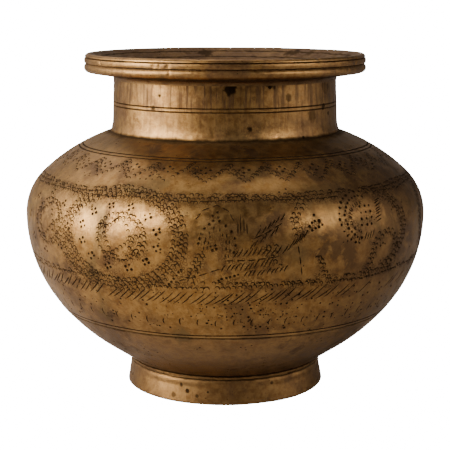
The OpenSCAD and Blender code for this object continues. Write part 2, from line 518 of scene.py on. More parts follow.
def leaf(cut, x):
    """A pointed leaf of dots with ticks inside, between two medallions, over two feathers."""
    left = ([x - 4.4, x - 4.2, x - 3.8, x - 2.9, x - 1.8, x - 0.7], [48, 50.4, 52.4, 54.4, 56.2, 57.6])
    right = ([x + 4.2, x + 4.7, x + 4.5, x + 3.7, x + 2.3, x + 0.8], [44.6, 47.2, 50.4, 53.2, 55.6, 57.6])
    for side in (left, right):
        cut.dot(np.array(side[0]), np.array(side[1]))
        inward = np.sign(x - side[0][0])
        cut.strokes(np.array(side[0][:5]) + 1.2 * inward, np.array(side[1][:5]) - 2.6, 0.0, 1.7)
        cut.strokes(np.array(side[0][:4]) + 2.2 * inward, np.array(side[1][:4]) - 2.2, 0.0, 1.6)
    dot_group(cut, x - 0.1, 60.2, 3)
    dot_group(cut, x - 0.6, 46.6, 4)
    cut.curve([x - 5.6, x - 3.6, x, x + 3.0, x + 4.6], [57.5, 62.2, 64.6, 62.0, 57.0])
    cut.strokes(x + np.array([5.2, 6.0, 6.8, 7.6]), 52.0, 0.0, np.array([6.0, 7.5, 7.0, 5.0]))
    feather(cut, (x + 2.0, 41.0), (x + 15.5, 42.2))
    feather(cut, (x + 9.0, 50.0), (x + 17.0, 56.5))
    cut.strokes(x + 16.4 + 0.9 * np.arange(7), 43.5 + 0.9 * np.arange(7), 3.0, 4.6, bow=0.3)
    cut.strokes(x + 5.6 + 1.15 * np.arange(11), 33.4 + 0.18 * np.arange(11), 2.0, 3.0, bow=-0.3)
    cut.curve([x - 10, x - 5, x + 1], [31.5, 34.0, 37.6])
    cut.dot(*spread((x + 0.4, 32.4), (x + 5.4, 34.8), 6))
    cut.dot(*spread((x - 9.0, 36.8), (x - 12.4, 29.8), 6))
    for row in range(2):
        cut.crescents(*spread((x - 4.6 + 1.3 * row, 43.2), (x - 7.6 + 1.3 * row, 32.4), 8), turn=-50)
    cut.crescents(*spread((x + 12.6, 44.6), (x + 16.0, 38.4), 4))
    cut.crescents(*spread((x + 11.0, 46.2), (x + 15.0, 46.6), 3))


def feather(cut, start, end):
    """A midrib with slanted barbs on both sides."""
    middle = ((start[0] + end[0]) / 2, (start[1] + end[1]) / 2 - 0.5)
    cut.curve([start[0], middle[0], end[0]], [start[1], middle[1], end[1]])
    count = int((end[0] - start[0]) / 1.15)
    x, y = spread((start[0] + 0.6, start[1]), (end[0] - 0.8, end[1]), count)
    cut.strokes(x, y + 0.9, 2.6, 3.6, bow=0.3)
    cut.strokes(x - 1.6, y - 4.8, 2.4, 3.8, bow=-0.3)


def fan(cut, x):
    """A spread tail: two bows of dots, ticks between them, a chequer of dots and hatched feathers."""
    centre = (x, 56.0)
    cut.dot(*ellipse(centre, 8.2, 11.8, 15, -165, 10))
    cut.dot(*ellipse(centre, 6.3, 9.4, 16, -165, 15))
    ticks = ellipse(centre, 5.4, 7.2, 15, -160, 0)
    toward = np.radians(np.linspace(-160, 0, 15))
    cut.strokes(*ticks, -1.5 * np.sin(toward), -1.5 * np.cos(toward) - 0.6)
    for row in range(4):
        cut.dot(x + np.array([-1.2, 0.6, 2.4]) + 0.2 * row, 52.4 + 2.7 * row)
    cut.strokes(x + 4.0 + 0.2 * np.arange(8), 53.0 + 1.3 * np.arange(8), 4.6, 1.2)
    cut.strokes(x - 2.6 + np.arange(6), 44.8 + 0.3 * np.arange(6), 1.4, 3.6)
    for row in range(2):
        cut.crescents(*spread((x - 15.3 + row, 41.0), (x - 11.3 + row, 28.5), 8))
        cut.crescents(*spread((x + 2.7 + 1.4 * row, 41.0), (x + 0.9 + 1.4 * row, 30.0), 6))
        cut.crescents(*ellipse((x + 8.2, 40.5), 5.4 - 1.3 * row, 8.0 - 1.8 * row, 9 - row, -70, 90))
    cut.dot(*spread((x - 16.8, 52.6), (x - 13.8, 54.4), 4), size=1.1)
    cut.dot(*ellipse((x - 15.2, 53.4), 2.2, 3.0, 6, -75, 75), size=1.1)
    cut.dot(x - 15.8, 59.0, size=1.3)
    cut.dot(x + np.array([5.8, 6.8, 7.8]), np.array([42.0, 42.8, 42.2]))
    for row in range(2):
        cut.crescents(*spread((x - 18.5 + 1.4 * row, 66.0), (x - 22.1 + 1.4 * row, 57.8), 5))
        cut.crescents(*spread((x - 21.9 + 1.4 * row, 56.0), (x - 21.2 + 1.4 * row, 50.5), 3))
    cut.curve([x - 20.8, x - 20.0, x - 19.2], [47.0, 40.0, 33.0])


def fan_border(cut, x):
    """The rows of crescents that close a fan's field on its right."""
    for row in range(3):
        cut.crescents(*ellipse((x - 2.0, FRIEZE_MID), 17.6 + 1.35 * row, 18.5 + 1.5 * row, 22, 32, 148))


def borders(cut):
    """Rows that run all round: crescents over and under the frieze, slanted strokes, ticks and pits."""
    for row in range(3):
        places = np.arange(-179, 179, 1.25) + 0.6 * row
        swing = 0.5 * np.sin(np.radians(places * 11 + 60 * row))
        keep = cut.rng.random(len(places)) < (0.97, 0.95, 0.75)[row]
        cut.crescents(places[keep], (UPPER_ROWS + 1.6 * row + swing)[keep])
    places = np.arange(-178.5, 178.5, 1.38)
    cut.crescents(places, LOWER_ROWS[0] + 0.5 * np.sin(np.radians(places * 7)))
    places = np.arange(-178, 178, 1.38)
    keep = cut.rng.random(len(places)) < 0.7
    cut.crescents(places[keep], LOWER_ROWS[1] + 0.4 * np.cos(np.radians(places[keep] * 9)))
    places = np.arange(-178, 175, 2.05)
    keep = (places < 34) | (places > 62) | (cut.rng.random(len(places)) < 0.5)
    cut.strokes(places[keep], SLANTS + 0.5 * np.sin(np.radians(places[keep] * 5)), 7.4, 6.6, bow=0.3)
    places = np.arange(-176, 176, 5.1)
    cut.strokes(places, TICKS, 0.5, 4.4, bow=-0.6)
    places = cut.rng.uniform(-178, 178, LOWER_PITS)
    heights = 5 + 21 * cut.rng.random(LOWER_PITS) ** 1.4
    cut.dot(places, heights, size=0.45 + 0.5 * cut.rng.random(LOWER_PITS), pit=True)


def shoulder(cut, festoons):
    """Swags of crescents hung round the shoulder, doubled where they meet, with dots in each."""
    pitch = 360 / festoons
    places = np.arange(-178.8, 178.8, 1.3)
    phase = np.abs(((places / pitch) % 1) * 2 - 1)
    for row, reach in ((0, 0.0), (1, 0.2), (2, 0.72)):
        keep = (phase >= reach) & (cut.rng.random(len(places)) < 0.95)
        height = SWAG_TOP - SWAG_DROP * (1 - phase) ** 0.8 + 1.6 * row
        cut.crescents(places[keep] + 0.8 * row, height[keep])
    middles = (np.arange(festoons) + 0.5) * pitch - 180 + 0.5 * pitch * (festoons % 2)
    for offset, lift in ((-1.5, 0.2), (0.0, 1.9), (1.5, 0.3), (0.1, -1.4)):
        cut.dot(middles + offset, 83.9 + lift, size=1.05)


def ornament(wall, punch):
    """Every mark on the belly. The frieze's fields follow one another round the pot."""
    cut = Punches(wall, punch)
    front = (FRONT_MEDALLION, FRIEZE_MID)
    medallion(cut, front, 4)
    for x in MEDALLIONS:
        medallion(cut, (x, FRIEZE_MID))
    for row in range(2):
        cut.crescents(*ellipse(front, 20.2 + 1.4 * row, 22.6 + 1.8 * row, 18, -158, -100))
    for x in LEAVES:
        leaf(cut, x)
    fan(cut, FAN)
    fan_border(cut, FAN)
    flower(cut, (-56.0, 50.5))
    for angle in np.arange(0, 360, 45):
        at = ellipse((-58.0, 50.5), 12.0, 13.4, 1, angle, angle)
        dot_group(cut, at[0][0], at[1][0], 3)
    borders(cut)
    shoulder(cut, punch.festoons)
    places = cut.rng.normal(8, 10, FRONT_PITS)
    heights = cut.rng.normal(16, 6.5, FRONT_PITS)
    cut.dot(places, heights, size=0.35 + 0.5 * cut.rng.random(FRONT_PITS), pit=True)
    return cut


# Marks stay this far from the pattern's ends and from the seam, in mm, and a dot or pit takes this
# share of its radius when its room is tested
END_MARGIN = 0.9
SEAM_MARGIN = 2.6
DOT_ROOM = 0.9


def apart(cut, reach=0.1):
    """The lines and dots left when those that come within reach mm of a mark kept before them are
    dropped: dots go first, then lines, then pits. Marks are looked up by their points in cells of one
    mm."""
    taken = {}
    kept_lines, kept_dots = [], []
    dots = np.concatenate(cut.dots + cut.pits)
    firm = sum(map(len, cut.dots))
    lines = np.concatenate(cut.lines)
    whole = 360 * DEG_MM
    dots[:, 0] -= whole * np.round(dots[:, 0] / whole)
    lines[..., 0] -= whole * np.round(lines[..., 0].mean(1) / whole)[:, None]
    inside = np.abs(dots[:, 0]) + dots[:, 2] < whole / 2 - END_MARGIN
    inside &= dots[:, 1] - dots[:, 2] > SEAM_MARGIN
    firm = int(inside[:firm].sum())
    dots = dots[inside]
    lines = lines[np.abs(lines[..., 0]).max(1) < whole / 2 - END_MARGIN]
    round_marks = [(dots[i, None, :2], dots[i, 2] * DOT_ROOM, kept_dots, i) for i in range(len(dots))]
    long_marks = [(lines[i], 0.0, kept_lines, i) for i in range(len(lines))]
    for points, extra, kept, i in round_marks[:firm] + long_marks + round_marks[firm:]:
        keys = [(int(x), int(y)) for x, y in np.floor(points)]
        near = [
            q
            for kx, ky in set(keys)
            for dx in (-1, 0, 1)
            for dy in (-1, 0, 1)
            for q in taken.get((kx + dx, ky + dy), ())
        ]
        if near:
            q = np.array(near)
            gap = np.hypot(*(points[:, None] - q[None, :, :2]).transpose(2, 0, 1)) - q[None, :, 2] - extra
            if gap.min() < reach:
                continue
        kept.append(i)
        for key, point in zip(keys, points):
            taken.setdefault(key, []).append((point[0], point[1], extra))
    return lines[kept_lines], dots[kept_dots]


# ---- Belly ----------------------------------------------------------------------------------

EDGE_STEPS = 360
GRID_MM = 3.0
# A point this near an edge of the pattern lies on it, and points this close are merged, mm
EDGE_GAP = 1e-3
MERGE_GAP = 1e-5
# Turned lines round the belly: heights above the seam, half width and depth, mm
TURNED_LINES = (1.9, 90.1, 92.0)
LINE_HALF = 0.38
LINE_DEPTH = 0.16
# Grid points stay this far from a turned line, and dents fade this far from the shell's edges, mm
LINE_CLEAR = 1.0
DENT_FADE = 6.0
# Points round a dot, and a dot's depth to its radius
DOT_POINTS = 8
DOT_DEPTH = 0.35
# How much steeper than their facets the cuts catch the light
CUT_GLINT = 1.8
# A corner deeper than this, in mm, lies in a cut; the other corners of its face get this much dirt
CUT_MM = 0.02
CUT_EDGE_DIRT = 0.96
# Dots from this share of the dot punch's radius count as ornament
FIRM_DOT = 0.9
# Most triangles that the shell may have
MAX_TRIANGLES = 200_000


def flat_belly(wall, lines, dots, punch):
    """Points and fixed edges of the belly's outside laid flat, with each point's depth in mm.

    A mark is its centreline, pushed in, inside an outline half a stroke away that stays on the
    surface. A dot is a centre, pushed in, inside a ring. A turned line is three lines of points."""
    half, width = 180 * DEG_MM, wall.top
    points, depths, edges = [], [], []
    count = 0

    def put(new, depth):
        nonlocal count
        new = new.reshape(-1, 2)
        points.append(new)
        depths.append(np.broadcast_to(np.asarray(depth, float).reshape(-1), (len(new),)))
        count += len(new)
        return np.arange(count - len(new), count)

    def chain(ids):
        edges.append(np.stack([ids[..., :-1], ids[..., 1:]], -1).reshape(-1, 2))

    across = np.linspace(-half, half, EDGE_STEPS + 1)
    for height in (0.0, width):
        chain(put(np.stack([across, np.full(across.shape, height)], -1), 0.0))
    for side in (-half, half):
        heights = np.arange(GRID_MM, width - 1, GRID_MM)
        put(np.stack([np.full(heights.shape, side), heights], -1), 0.0)
    for height in TURNED_LINES:
        for offset, depth in ((-LINE_HALF, 0.0), (0.0, LINE_DEPTH), (LINE_HALF, 0.0)):
            wave = 0.14 * np.sin(3 * across / half * np.pi) + 0.09 * np.sin(7 * across / half * np.pi)
            chain(put(np.stack([across, height + offset + wave], -1), depth))
    rows = np.arange(GRID_MM, width - 1, GRID_MM)
    columns = np.arange(-half + GRID_MM, half - 1, GRID_MM)
    grid = np.stack(np.meshgrid(columns, rows, indexing="ij"), -1)
    grid[..., 0] += np.where(np.arange(len(rows)) % 2, GRID_MM / 2, 0)[None]
    grid = grid.reshape(-1, 2)
    near_line = np.min(np.abs(grid[:, 1:] - np.array(TURNED_LINES)), axis=1)
    put(grid[near_line > LINE_CLEAR], 0.0)

    step = np.gradient(lines, axis=1)
    wide = stretch(wall, lines[..., 1])[..., None]
    step[..., :1] /= wide
    step /= np.linalg.norm(step, axis=-1, keepdims=True)
    side = np.stack([-step[..., 1], step[..., 0]], -1)[:, 1:-1] * punch.stroke
    side[..., :1] *= wide[:, 1:-1]
    pushed = np.concatenate([[0], np.ones(MARK_POINTS - 2), [0]]) * punch.depth
    middle = put(lines, np.tile(pushed, len(lines))).reshape(-1, MARK_POINTS)
    for sign in (1, -1):
        outline = put(lines[:, 1:-1] + sign * side, 0.0).reshape(-1, MARK_POINTS - 2)
        chain(np.concatenate([middle[:, :1], outline, middle[:, -1:]], 1))
    chain(middle)

    around = np.arange(DOT_POINTS)[None] * TAU / DOT_POINTS
    radius = dots[:, 2, None]
    wide_radius = radius * stretch(wall, dots[:, 1])[:, None]
    ring = np.stack([np.sin(around) * wide_radius, np.cos(around) * radius], -1)
    put(dots[:, :2], DOT_DEPTH * dots[:, 2])
    ids = put(dots[:, None, :2] + ring, 0.0).reshape(-1, DOT_POINTS)
    chain(np.concatenate([ids, ids[:, :1]], 1))
    return np.concatenate(points), np.concatenate(depths), np.concatenate(edges)


# Dents in the belly: degrees, mm above the seam, depth and reach in mm
DENTS = (
    (-62.0, 62.0, 0.30, 9.0),
    (-6.0, 88.0, 0.22, 7.0),
    (24.0, 14.0, 0.28, 8.0),
    (58.0, 44.0, 0.30, 10.0),
    (-30.0, 12.0, 0.20, 7.0),
    (110.0, 70.0, 0.34, 9.0),
    (150.0, 30.0, 0.30, 11.0),
    (-120.0, 50.0, 0.32, 9.0),
    (-160.0, 84.0, 0.26, 8.0),
    (78.0, 92.0, 0.24, 7.0),
)


# Broad stains on the belly: degrees, mm above the seam, reach in mm and strength
STAINS = (
    (-36.0, 9.0, 3.2, 1.0), (-31.0, 7.0, 2.4, 0.6), (2.0, 20.0, 9.0, 0.4), (12.0, 14.0, 8.0, 0.35),
    (8.0, 8.0, 6.0, 0.35), (12.0, 58.0, 6.0, 0.75), (4.0, 50.0, 6.0, 0.35), (26.0, 45.0, 7.0, 1.0),
    (33.0, 40.0, 6.0, 1.0), (20.0, 52.0, 4.0, 0.4), (44.0, 47.0, 6.0, 0.5), (52.0, 58.0, 8.0, 0.6),
    (58.0, 40.0, 9.0, 0.6), (-22.0, 84.0, 5.0, 0.6), (-10.0, 83.0, 4.0, 0.5), (-48.0, 80.0, 7.0, 0.5),
    (-50.0, 30.0, 8.0, 0.6), (-16.0, 66.0, 6.0, 0.35), (15.0, 84.0, 6.0, 0.45), (36.0, 72.0, 8.0, 0.5),
    (-60.0, 54.0, 10.0, 0.75), (-66.0, 40.0, 9.0, 0.6), (90.0, 60.0, 11.0, 0.6), (118.0, 30.0, 9.0, 0.6),
    (140.0, 78.0, 9.0, 0.5), (170.0, 44.0, 12.0, 0.6), (48.0, 86.0, 12.0, 0.9), (62.0, 72.0, 11.0, 0.8),
    (30.0, 80.0, 8.0, 0.5), (-28.0, 97.0, 5.0, 0.8), (-12.0, 96.0, 5.0, 0.6), (8.0, 97.0, 8.0, 0.8),
    (36.0, 97.0, 6.0, 0.5), (-150.0, 66.0, 9.0, 0.5), (-128.0, 24.0, 10.0, 0.6), (-95.0, 84.0, 8.0, 0.5),
    (-110.0, 44.0, 8.0, 0.4),
)


def stained(wall, theta, s):
    """How stained the belly is at an angle in radians and an arc length, 0 to 1: the strongest of round
    stains that fade as strength * exp(-d^2/w^2)."""
    r = wall.at(s)[0]
    total = np.zeros_like(r)
    for deg, height, reach, strength in STAINS:
        turn = turn_from(theta, deg)
        total = np.maximum(total, strength * np.exp(-((turn * r) ** 2 + (s - height) ** 2) / reach**2))
    return total


def belly_surface(wall, sizes, theta, s, depth):
    """The belly's outside at angle theta (radians) and arc length s: the wall's curve, moved inward
    along its normal by slow waves, round dents that fade as exp(-d^2/w^2), and the marks' depth."""
    r, z, a = wall.at(s)
    inward = handmade(theta, z, 3, sizes.dent)
    for deg, height, deep, reach in DENTS:
        turn = turn_from(theta, deg)
        inward = inward + deep * np.exp(-((turn * r) ** 2 + (s - height) ** 2) / reach**2)
    inward = inward * np.clip(np.minimum(s, wall.top - s) / DENT_FADE, 0, 1) + depth
    r, z = r - inward * np.cos(a), z - inward * np.sin(a)
    return np.stack([r * np.sin(theta), -r * np.cos(theta), z], -1)


def belly_normals(wall, sizes, theta, s):
    """Outward unit normals of the unmarked belly, from the cross product of small steps each way."""
    turn, climb = 1e-3, 0.05
    low, high = np.clip(s - climb, 0, None), np.clip(s + climb, None, wall.top)
    along = belly_surface(wall, sizes, theta + turn, s, 0) - belly_surface(wall, sizes, theta - turn, s, 0)
    rise = belly_surface(wall, sizes, theta, high, 0) - belly_surface(wall, sizes, theta, low, 0)
    return unit(np.cross(along, rise))


# Marks are counted in cells of this size, mm, up to this height, and this count is a full crowd
CROWD_CELL = 2.0
CROWD_TOP = 110
CROWD_FULL = 0.75


def crowding(flat, marks):
    """How closely marks crowd round each flat point, 0 to 1: marks counted in cells, then spread out."""
    half = 180 * DEG_MM
    across, up = int(2 * half / CROWD_CELL), int(CROWD_TOP / CROWD_CELL)
    reach = ((-half, half), (0, CROWD_TOP))
    counts = np.histogram2d(marks[:, 0], marks[:, 1], bins=(across, up), range=reach)[0]
    for axis in (0, 1):
        for _ in range(2):
            counts = (np.roll(counts, 1, axis) + 2 * counts + np.roll(counts, -1, axis)) / 4
    i = np.clip(((flat[:, 0] + half) / CROWD_CELL).astype(int), 0, across - 1)
    j = np.clip((flat[:, 1] / CROWD_CELL).astype(int), 0, up - 1)
    return np.clip(counts[i, j] / CROWD_FULL, 0, 1)


def cut_flat(flat, depth, edges):
    """The flat pattern cut into triangles by constrained Delaunay: its points, their depths and its
    faces, wound to face out. A point made where edges cross gets the mean depth of its neighbours."""
    out = delaunay_2d_cdt(flat.tolist(), edges.tolist(), [], 0, MERGE_GAP)
    points = np.array([tuple(v) for v in out[0]])
    links = np.array(out[1])
    source = np.array([origin[0] if origin else -1 for origin in out[3]])
    made = source < 0
    known = np.where(made, 0, depth[np.maximum(source, 0)])
    total = np.bincount(links[:, 0], known[links[:, 1]], len(points))
    total += np.bincount(links[:, 1], known[links[:, 0]], len(points))
    degree = np.maximum(np.bincount(links.ravel(), minlength=len(points)), 1)
    depths = np.where(made, total / degree, known)
    faces = np.array([face for face in out[2] if len(face) == 3])
    a, b, c = (points[faces[:, i]] for i in range(3))
    area = (b - a)[:, 0] * (c - a)[:, 1] - (b - a)[:, 1] * (c - a)[:, 0]
    return points, depths, np.where((area < 0)[:, None], faces[:, ::-1], faces)


def back_joined(flat):
    """Each flat point's number, with the left end's numbers for the right end: they meet at the back."""
    half = 180 * DEG_MM
    left = np.flatnonzero(flat[:, 0] < -half + EDGE_GAP)
    right = np.flatnonzero(flat[:, 0] > half - EDGE_GAP)
    if len(left) != len(right):
        raise RuntimeError("the belly's two back edges don't match")
    same = np.arange(len(flat))
    same[right[np.argsort(flat[right, 1])]] = left[np.argsort(flat[left, 1])]
    return same


def in_order(ids, flat):
    """The points of one edge of the flat pattern in order across, each once."""
    ids = np.unique(ids)
    return ids[np.argsort(flat[ids, 0])]


def inner_section(wall, sizes):
    """Rows (r, z) of the shell's hidden section: from the neck's seat over the lip, down the inside
    and round the stepped lap to the seam."""
    bore = sizes.neck_r - sizes.neck_wall
    lip_in = bore - sizes.wall
    seat = polar(wall.shoulder_c, SHOULDER_R, wall.neck_a)
    seat_in = neck_seat_in(wall, sizes)
    inner_a = np.degrees(np.arccos((lip_in - wall.shoulder_c[0]) / (SHOULDER_R - sizes.wall)))
    return joined(
        line(seat, seat_in, 1.5)[1:],
        line(seat_in, (bore, seat_in[1] + LIP_H), 3.0),
        (lip_in, seat_in[1] + LIP_H),
        wall.section(wall.lap_a, inner_a, sizes.wall, 5.0)[::-1],
        wall.section(wall.seam_a, wall.lap_a, sizes.wall / 2, 2.0)[::-1],
    )


def neck_seat_in(wall, sizes):
    """The inner end (r, z) of the neck's conical seat on the shoulder."""
    bore = sizes.neck_r - sizes.neck_wall
    seat = polar(wall.shoulder_c, SHOULDER_R, wall.neck_a)
    return seat + (sizes.neck_base_r - bore) * np.array([-1, 1 / np.tan(np.radians(wall.neck_a))])


def corner_normals(points, faces, quads, smooth, cut_faces):
    """A normal for every corner: the smooth one outside, one steeper than the facet's in the cuts, and
    the facet's own on the hidden quads."""
    a, b, c = (points[faces[:, i]] for i in range(3))
    facets = unit(np.cross(b - a, c - a))[:, None]
    steep = unit(smooth[faces] + CUT_GLINT * (facets - smooth[faces]))
    outer = np.where(cut_faces[:, None, None], steep, smooth[faces])
    a, b, c = (points[quads[:, i]] for i in range(3))
    inner = np.repeat(unit(np.cross(b - a, c - b)), 4, axis=0)
    return np.concatenate([outer.reshape(-1, 3), inner])


def build_belly(sizes, punch):
    """The belly shell as one closed solid. Its outside is the flat pattern of marks, cut into triangles
    and bent onto the wall; the lip, the inside and the stepped lap are rings of the hidden section,
    joined to the outside's two edges."""
    wall = Wall(sizes)
    lines, dots = apart(ornament(wall, punch))
    flat, depth, faces = cut_flat(*flat_belly(wall, lines, dots, punch))
    same = back_joined(flat)
    faces = same[faces]
    theta, s = np.radians(flat[:, 0] / DEG_MM), flat[:, 1]
    outside = belly_surface(wall, sizes, theta, s, depth)

    section = inner_section(wall, sizes)
    turns = np.linspace(-np.pi, np.pi, EDGE_STEPS, endpoint=False)
    t, r = np.meshgrid(turns, section[:, 0], indexing="ij")
    inside = np.stack([r * np.sin(t), -r * np.cos(t), np.broadcast_to(section[:, 1], r.shape)], -1)
    ids = len(outside) + np.arange(r.size).reshape(r.shape)
    low = in_order(same[s < EDGE_GAP], flat)
    high = in_order(same[s > wall.top - EDGE_GAP], flat)
    strip = np.concatenate([high[:, None], ids, low[:, None]], 1)
    after = np.roll(strip, -1, axis=0)
    quads = np.stack([strip[:, :-1], after[:, :-1], after[:, 1:], strip[:, 1:]], -1).reshape(-1, 4)
    if len(faces) + 2 * len(quads) > MAX_TRIANGLES:
        raise RuntimeError(f"the belly has {len(faces) + 2 * len(quads)} triangles")

    points = np.concatenate([outside, inside.reshape(-1, 3)])
    corners = np.concatenate([faces.ravel(), quads.ravel()])
    counts = np.concatenate([np.full(len(faces), 3), np.full(len(quads), 4)])
    piece, used = compact("belly_shell_punched", points, corners, counts)

    clean = np.zeros(r.size)
    marks = np.concatenate([lines.mean(1), dots[dots[:, 2] > FIRM_DOT * punch.dot, :2]])
    crowded = np.concatenate([crowding(flat, marks), clean])
    set_numbers(piece.data, "crowding", "POINT", crowded[used])
    stains = np.concatenate([stained(wall, theta, s), clean])
    set_numbers(piece.data, "stains", "POINT", stains[used])
    in_cut = depth[faces] > CUT_MM
    cut_faces = in_cut.any(1)
    dirty = np.where(cut_faces[:, None], np.where(in_cut, 1.0, CUT_EDGE_DIRT), 0.0)
    set_numbers(piece.data, "dirt", "CORNER", np.concatenate([dirty.ravel(), np.zeros(quads.size)]))

    piece.data.shade_smooth()
    smooth = belly_normals(wall, sizes, theta, s)
    normals = corner_normals(points, faces, quads, smooth, cut_faces)
    piece.data.normals_split_custom_set(normals.tolist())
    return piece


# ---- Turned pieces --------------------------------------------------------------------------

# The foot: radius at its top, wall, bead and rounded lower edge, mm
FOOT_TOP_R = 45.6
FOOT_WALL = 2.4
FOOT_BEAD = 0.7
FOOT_EDGE = 0.9
# The lower bowl's dent: degrees, height and depth in mm, and its reach squared
BOWL_DENT = (-38, 31, 0.28, 60.0)
# Turned lines under the rim: heights, half width and depth, mm
NECK_LINES = (134.6, 136.3)
NECK_LINE_HALF = 0.36
NECK_LINE_DEPTH = 0.3
# How far the rim's seat reaches up round the neck's top, mm
RIM_SEAT = 1.5
# Nicks in the rim's beads
NICKS = 30


def build_bowl(sizes):
    """The lower bowl: flat bottom, knuckle, cone and hip up to the seam, then the stepped lap and the
    inside, turned about the axis. A shallow chamfer at its top edge draws the seam's line."""
    wall = Wall(sizes)
    foot_top = polar(wall.hip_c, HIP_R, wall.cone_a)
    slope = np.tan(np.radians(CONE_DEG))
    seat_r = FOOT_TOP_R - FOOT_WALL
    seat = np.array([seat_r, foot_top[1] - (foot_top[0] - seat_r) * slope])
    knuckle_c = polar(seat, -KNUCKLE_R, wall.cone_a)
    bottom = knuckle_c[1] - KNUCKLE_R
    floor = bottom + sizes.wall
    pole_r = 4
    chamfer_h, chamfer_in = 0.45, 0.35
    chamfer_a = wall.seam_a - np.degrees(chamfer_h / HIP_R)
    section = joined(
        (0, bottom),
        line((pole_r, bottom), (knuckle_c[0], bottom), 3.0),
        arc(knuckle_c, KNUCKLE_R, -90, wall.cone_a),
        line(seat, foot_top, 1.5),
        wall.section(wall.cone_a, chamfer_a, 0.0, 1.5),
        polar(wall.hip_c, HIP_R - chamfer_in, wall.seam_a),
        wall.section(wall.seam_a, wall.lap_a, sizes.wall / 2, 2.0),
        wall.section(wall.cone_a, wall.lap_a, sizes.wall, 3.0)[::-1],
        arc(knuckle_c, KNUCKLE_R - sizes.wall, wall.cone_a, -90),
        line((knuckle_c[0], floor), (pole_r, floor), 3.0),
        (0, floor),
    )
    dent_deg, dent_z, dent_depth, dent_spread = BOWL_DENT

    def uneven(t, r, z):
        free = np.clip((SEAM_Z - z) / 5.0, 0, 1) * np.clip((r - seat_r) / 6.0, 0, 1)
        turn = turn_from(t, dent_deg)
        dent = dent_depth * np.exp(-((turn * r) ** 2 + (z - dent_z) ** 2) / dent_spread)
        return -free * (handmade(t, z, 5, sizes.dent) + dent), np.zeros_like(z)

    return shade(turned("bowl_bottom_scraped", section, 360, uneven))


def build_foot(sizes):
    """The cast foot ring: worn lower edge, leaning side, a step and a bead along its top. It is turned
    a touch out of round, and its lower edge is worn in shallow waves."""
    wall = Wall(sizes)
    foot_top = polar(wall.hip_c, HIP_R, wall.cone_a)
    slope = np.tan(np.radians(CONE_DEG))
    top = np.array([FOOT_TOP_R, foot_top[1] - (foot_top[0] - FOOT_TOP_R) * slope])
    seat_r = FOOT_TOP_R - FOOT_WALL
    seat = np.array([seat_r, foot_top[1] - (foot_top[0] - seat_r) * slope])
    lean = np.degrees(np.arctan((FOOT_R - FOOT_TOP_R) / top[1]))
    bead_c = np.array([FOOT_TOP_R, top[1] - FOOT_BEAD])
    edge_c = np.array([FOOT_R - FOOT_EDGE, FOOT_EDGE])
    side_low = polar(edge_c, FOOT_EDGE, lean)
    neck = bead_c + np.array([-0.15, -FOOT_BEAD - 0.25])
    section = joined(
        line((FOOT_R - FOOT_WALL, 0), (FOOT_R - FOOT_EDGE, 0), 0.8),
        arc(edge_c, FOOT_EDGE, -90, lean, 15),
        line(side_low, neck + np.array([0.35, -0.9]), 0.8),
        neck,
        arc(bead_c, FOOT_BEAD, -62, 70, 18),
        top - np.array([0.25, 0.0]),
        seat,
        line(seat, (FOOT_R - FOOT_WALL, 0), 1.5),
    )

    def uneven(t, r, z):
        side = np.clip(z / 2.0, 0, 1) * np.clip((FOOT_TOP - z) / 1.5, 0, 1)
        outer = (r > FOOT_R - FOOT_WALL + 1).astype(float)
        chips = handmade(9 * t, z, 11, 0.22) ** 2 * 2.2
        worn = outer * np.clip(1 - z / 2.5, 0, 1) * (handmade(3 * t, z, 8, 0.22) + chips)
        return -outer * side * handmade(t, z * 4, 9, 0.3) - worn, 0.6 * worn * (z < 0.5)

    return shade(turned("foot_ring_cast", section, 360, uneven))


def build_neck(sizes):
    """The neck collar: a ragged lower edge on the shoulder, a flare, a straight taper with two turned
    V lines under the rim, and the bore. Slow waves and shallow planishing flats cover its outside."""
    wall = Wall(sizes)
    seat = polar(wall.shoulder_c, SHOULDER_R, wall.neck_a)
    seat_in = neck_seat_in(wall, sizes)
    bore = sizes.neck_r - sizes.neck_wall
    under_rim = NECK_SEAT_TOP
    top = under_rim + RIM_SEAT
    taper, flare_h = 0.9, 6.0

    def out_r(z):
        low = np.clip(1 - (z - seat[1]) / flare_h, 0, None)
        flare = sizes.neck_base_r - sizes.neck_r - taper
        return sizes.neck_r + flare * low**2 + taper * (under_rim - z) / (under_rim - seat[1])

    heights = np.concatenate(
        [np.linspace(seat[1] + 0.5, 133.6, 16)]
        + [np.array([z - NECK_LINE_HALF, z, z + NECK_LINE_HALF]) for z in NECK_LINES]
        + [np.linspace(137.4, under_rim, 14)]
    )
    cutting = np.isin(heights, NECK_LINES) * NECK_LINE_DEPTH
    outer = np.stack([out_r(heights) - cutting, heights], -1)
    section = joined(
        seat_in,
        seat + np.array([-0.55, 0.06]),
        seat + np.array([-0.12, 0.12]),
        outer,
        (sizes.neck_r, top),
        (bore, top),
        line((bore, top), seat_in, 3.0),
    )

    def uneven(t, r, z):
        outside = (r > bore + 0.6) & (z < under_rim - 0.2)
        edge = np.clip(1 - (z - seat[1]) / 1.6, 0, 1) * outside
        ragged = 0.16 * np.sin(23 * t + 2 * np.sin(5 * t)) + 0.12 * np.sin(51 * t + 3 * np.cos(7 * t))
        body = outside * np.clip((under_rim - z) / 3, 0, 1) * np.clip((z - seat[1]) / 3, 0, 1)
        flats = 0.03 * np.sin(31 * t + 0.2 * z) * np.sin(0.35 * z + 3 * t)
        return -body * (handmade(t, z, 13, 0.25) + flats) - edge * (0.25 + ragged), np.zeros_like(z)

    return shade(turned("neck_collar_ragged", section, 480, uneven), 26)


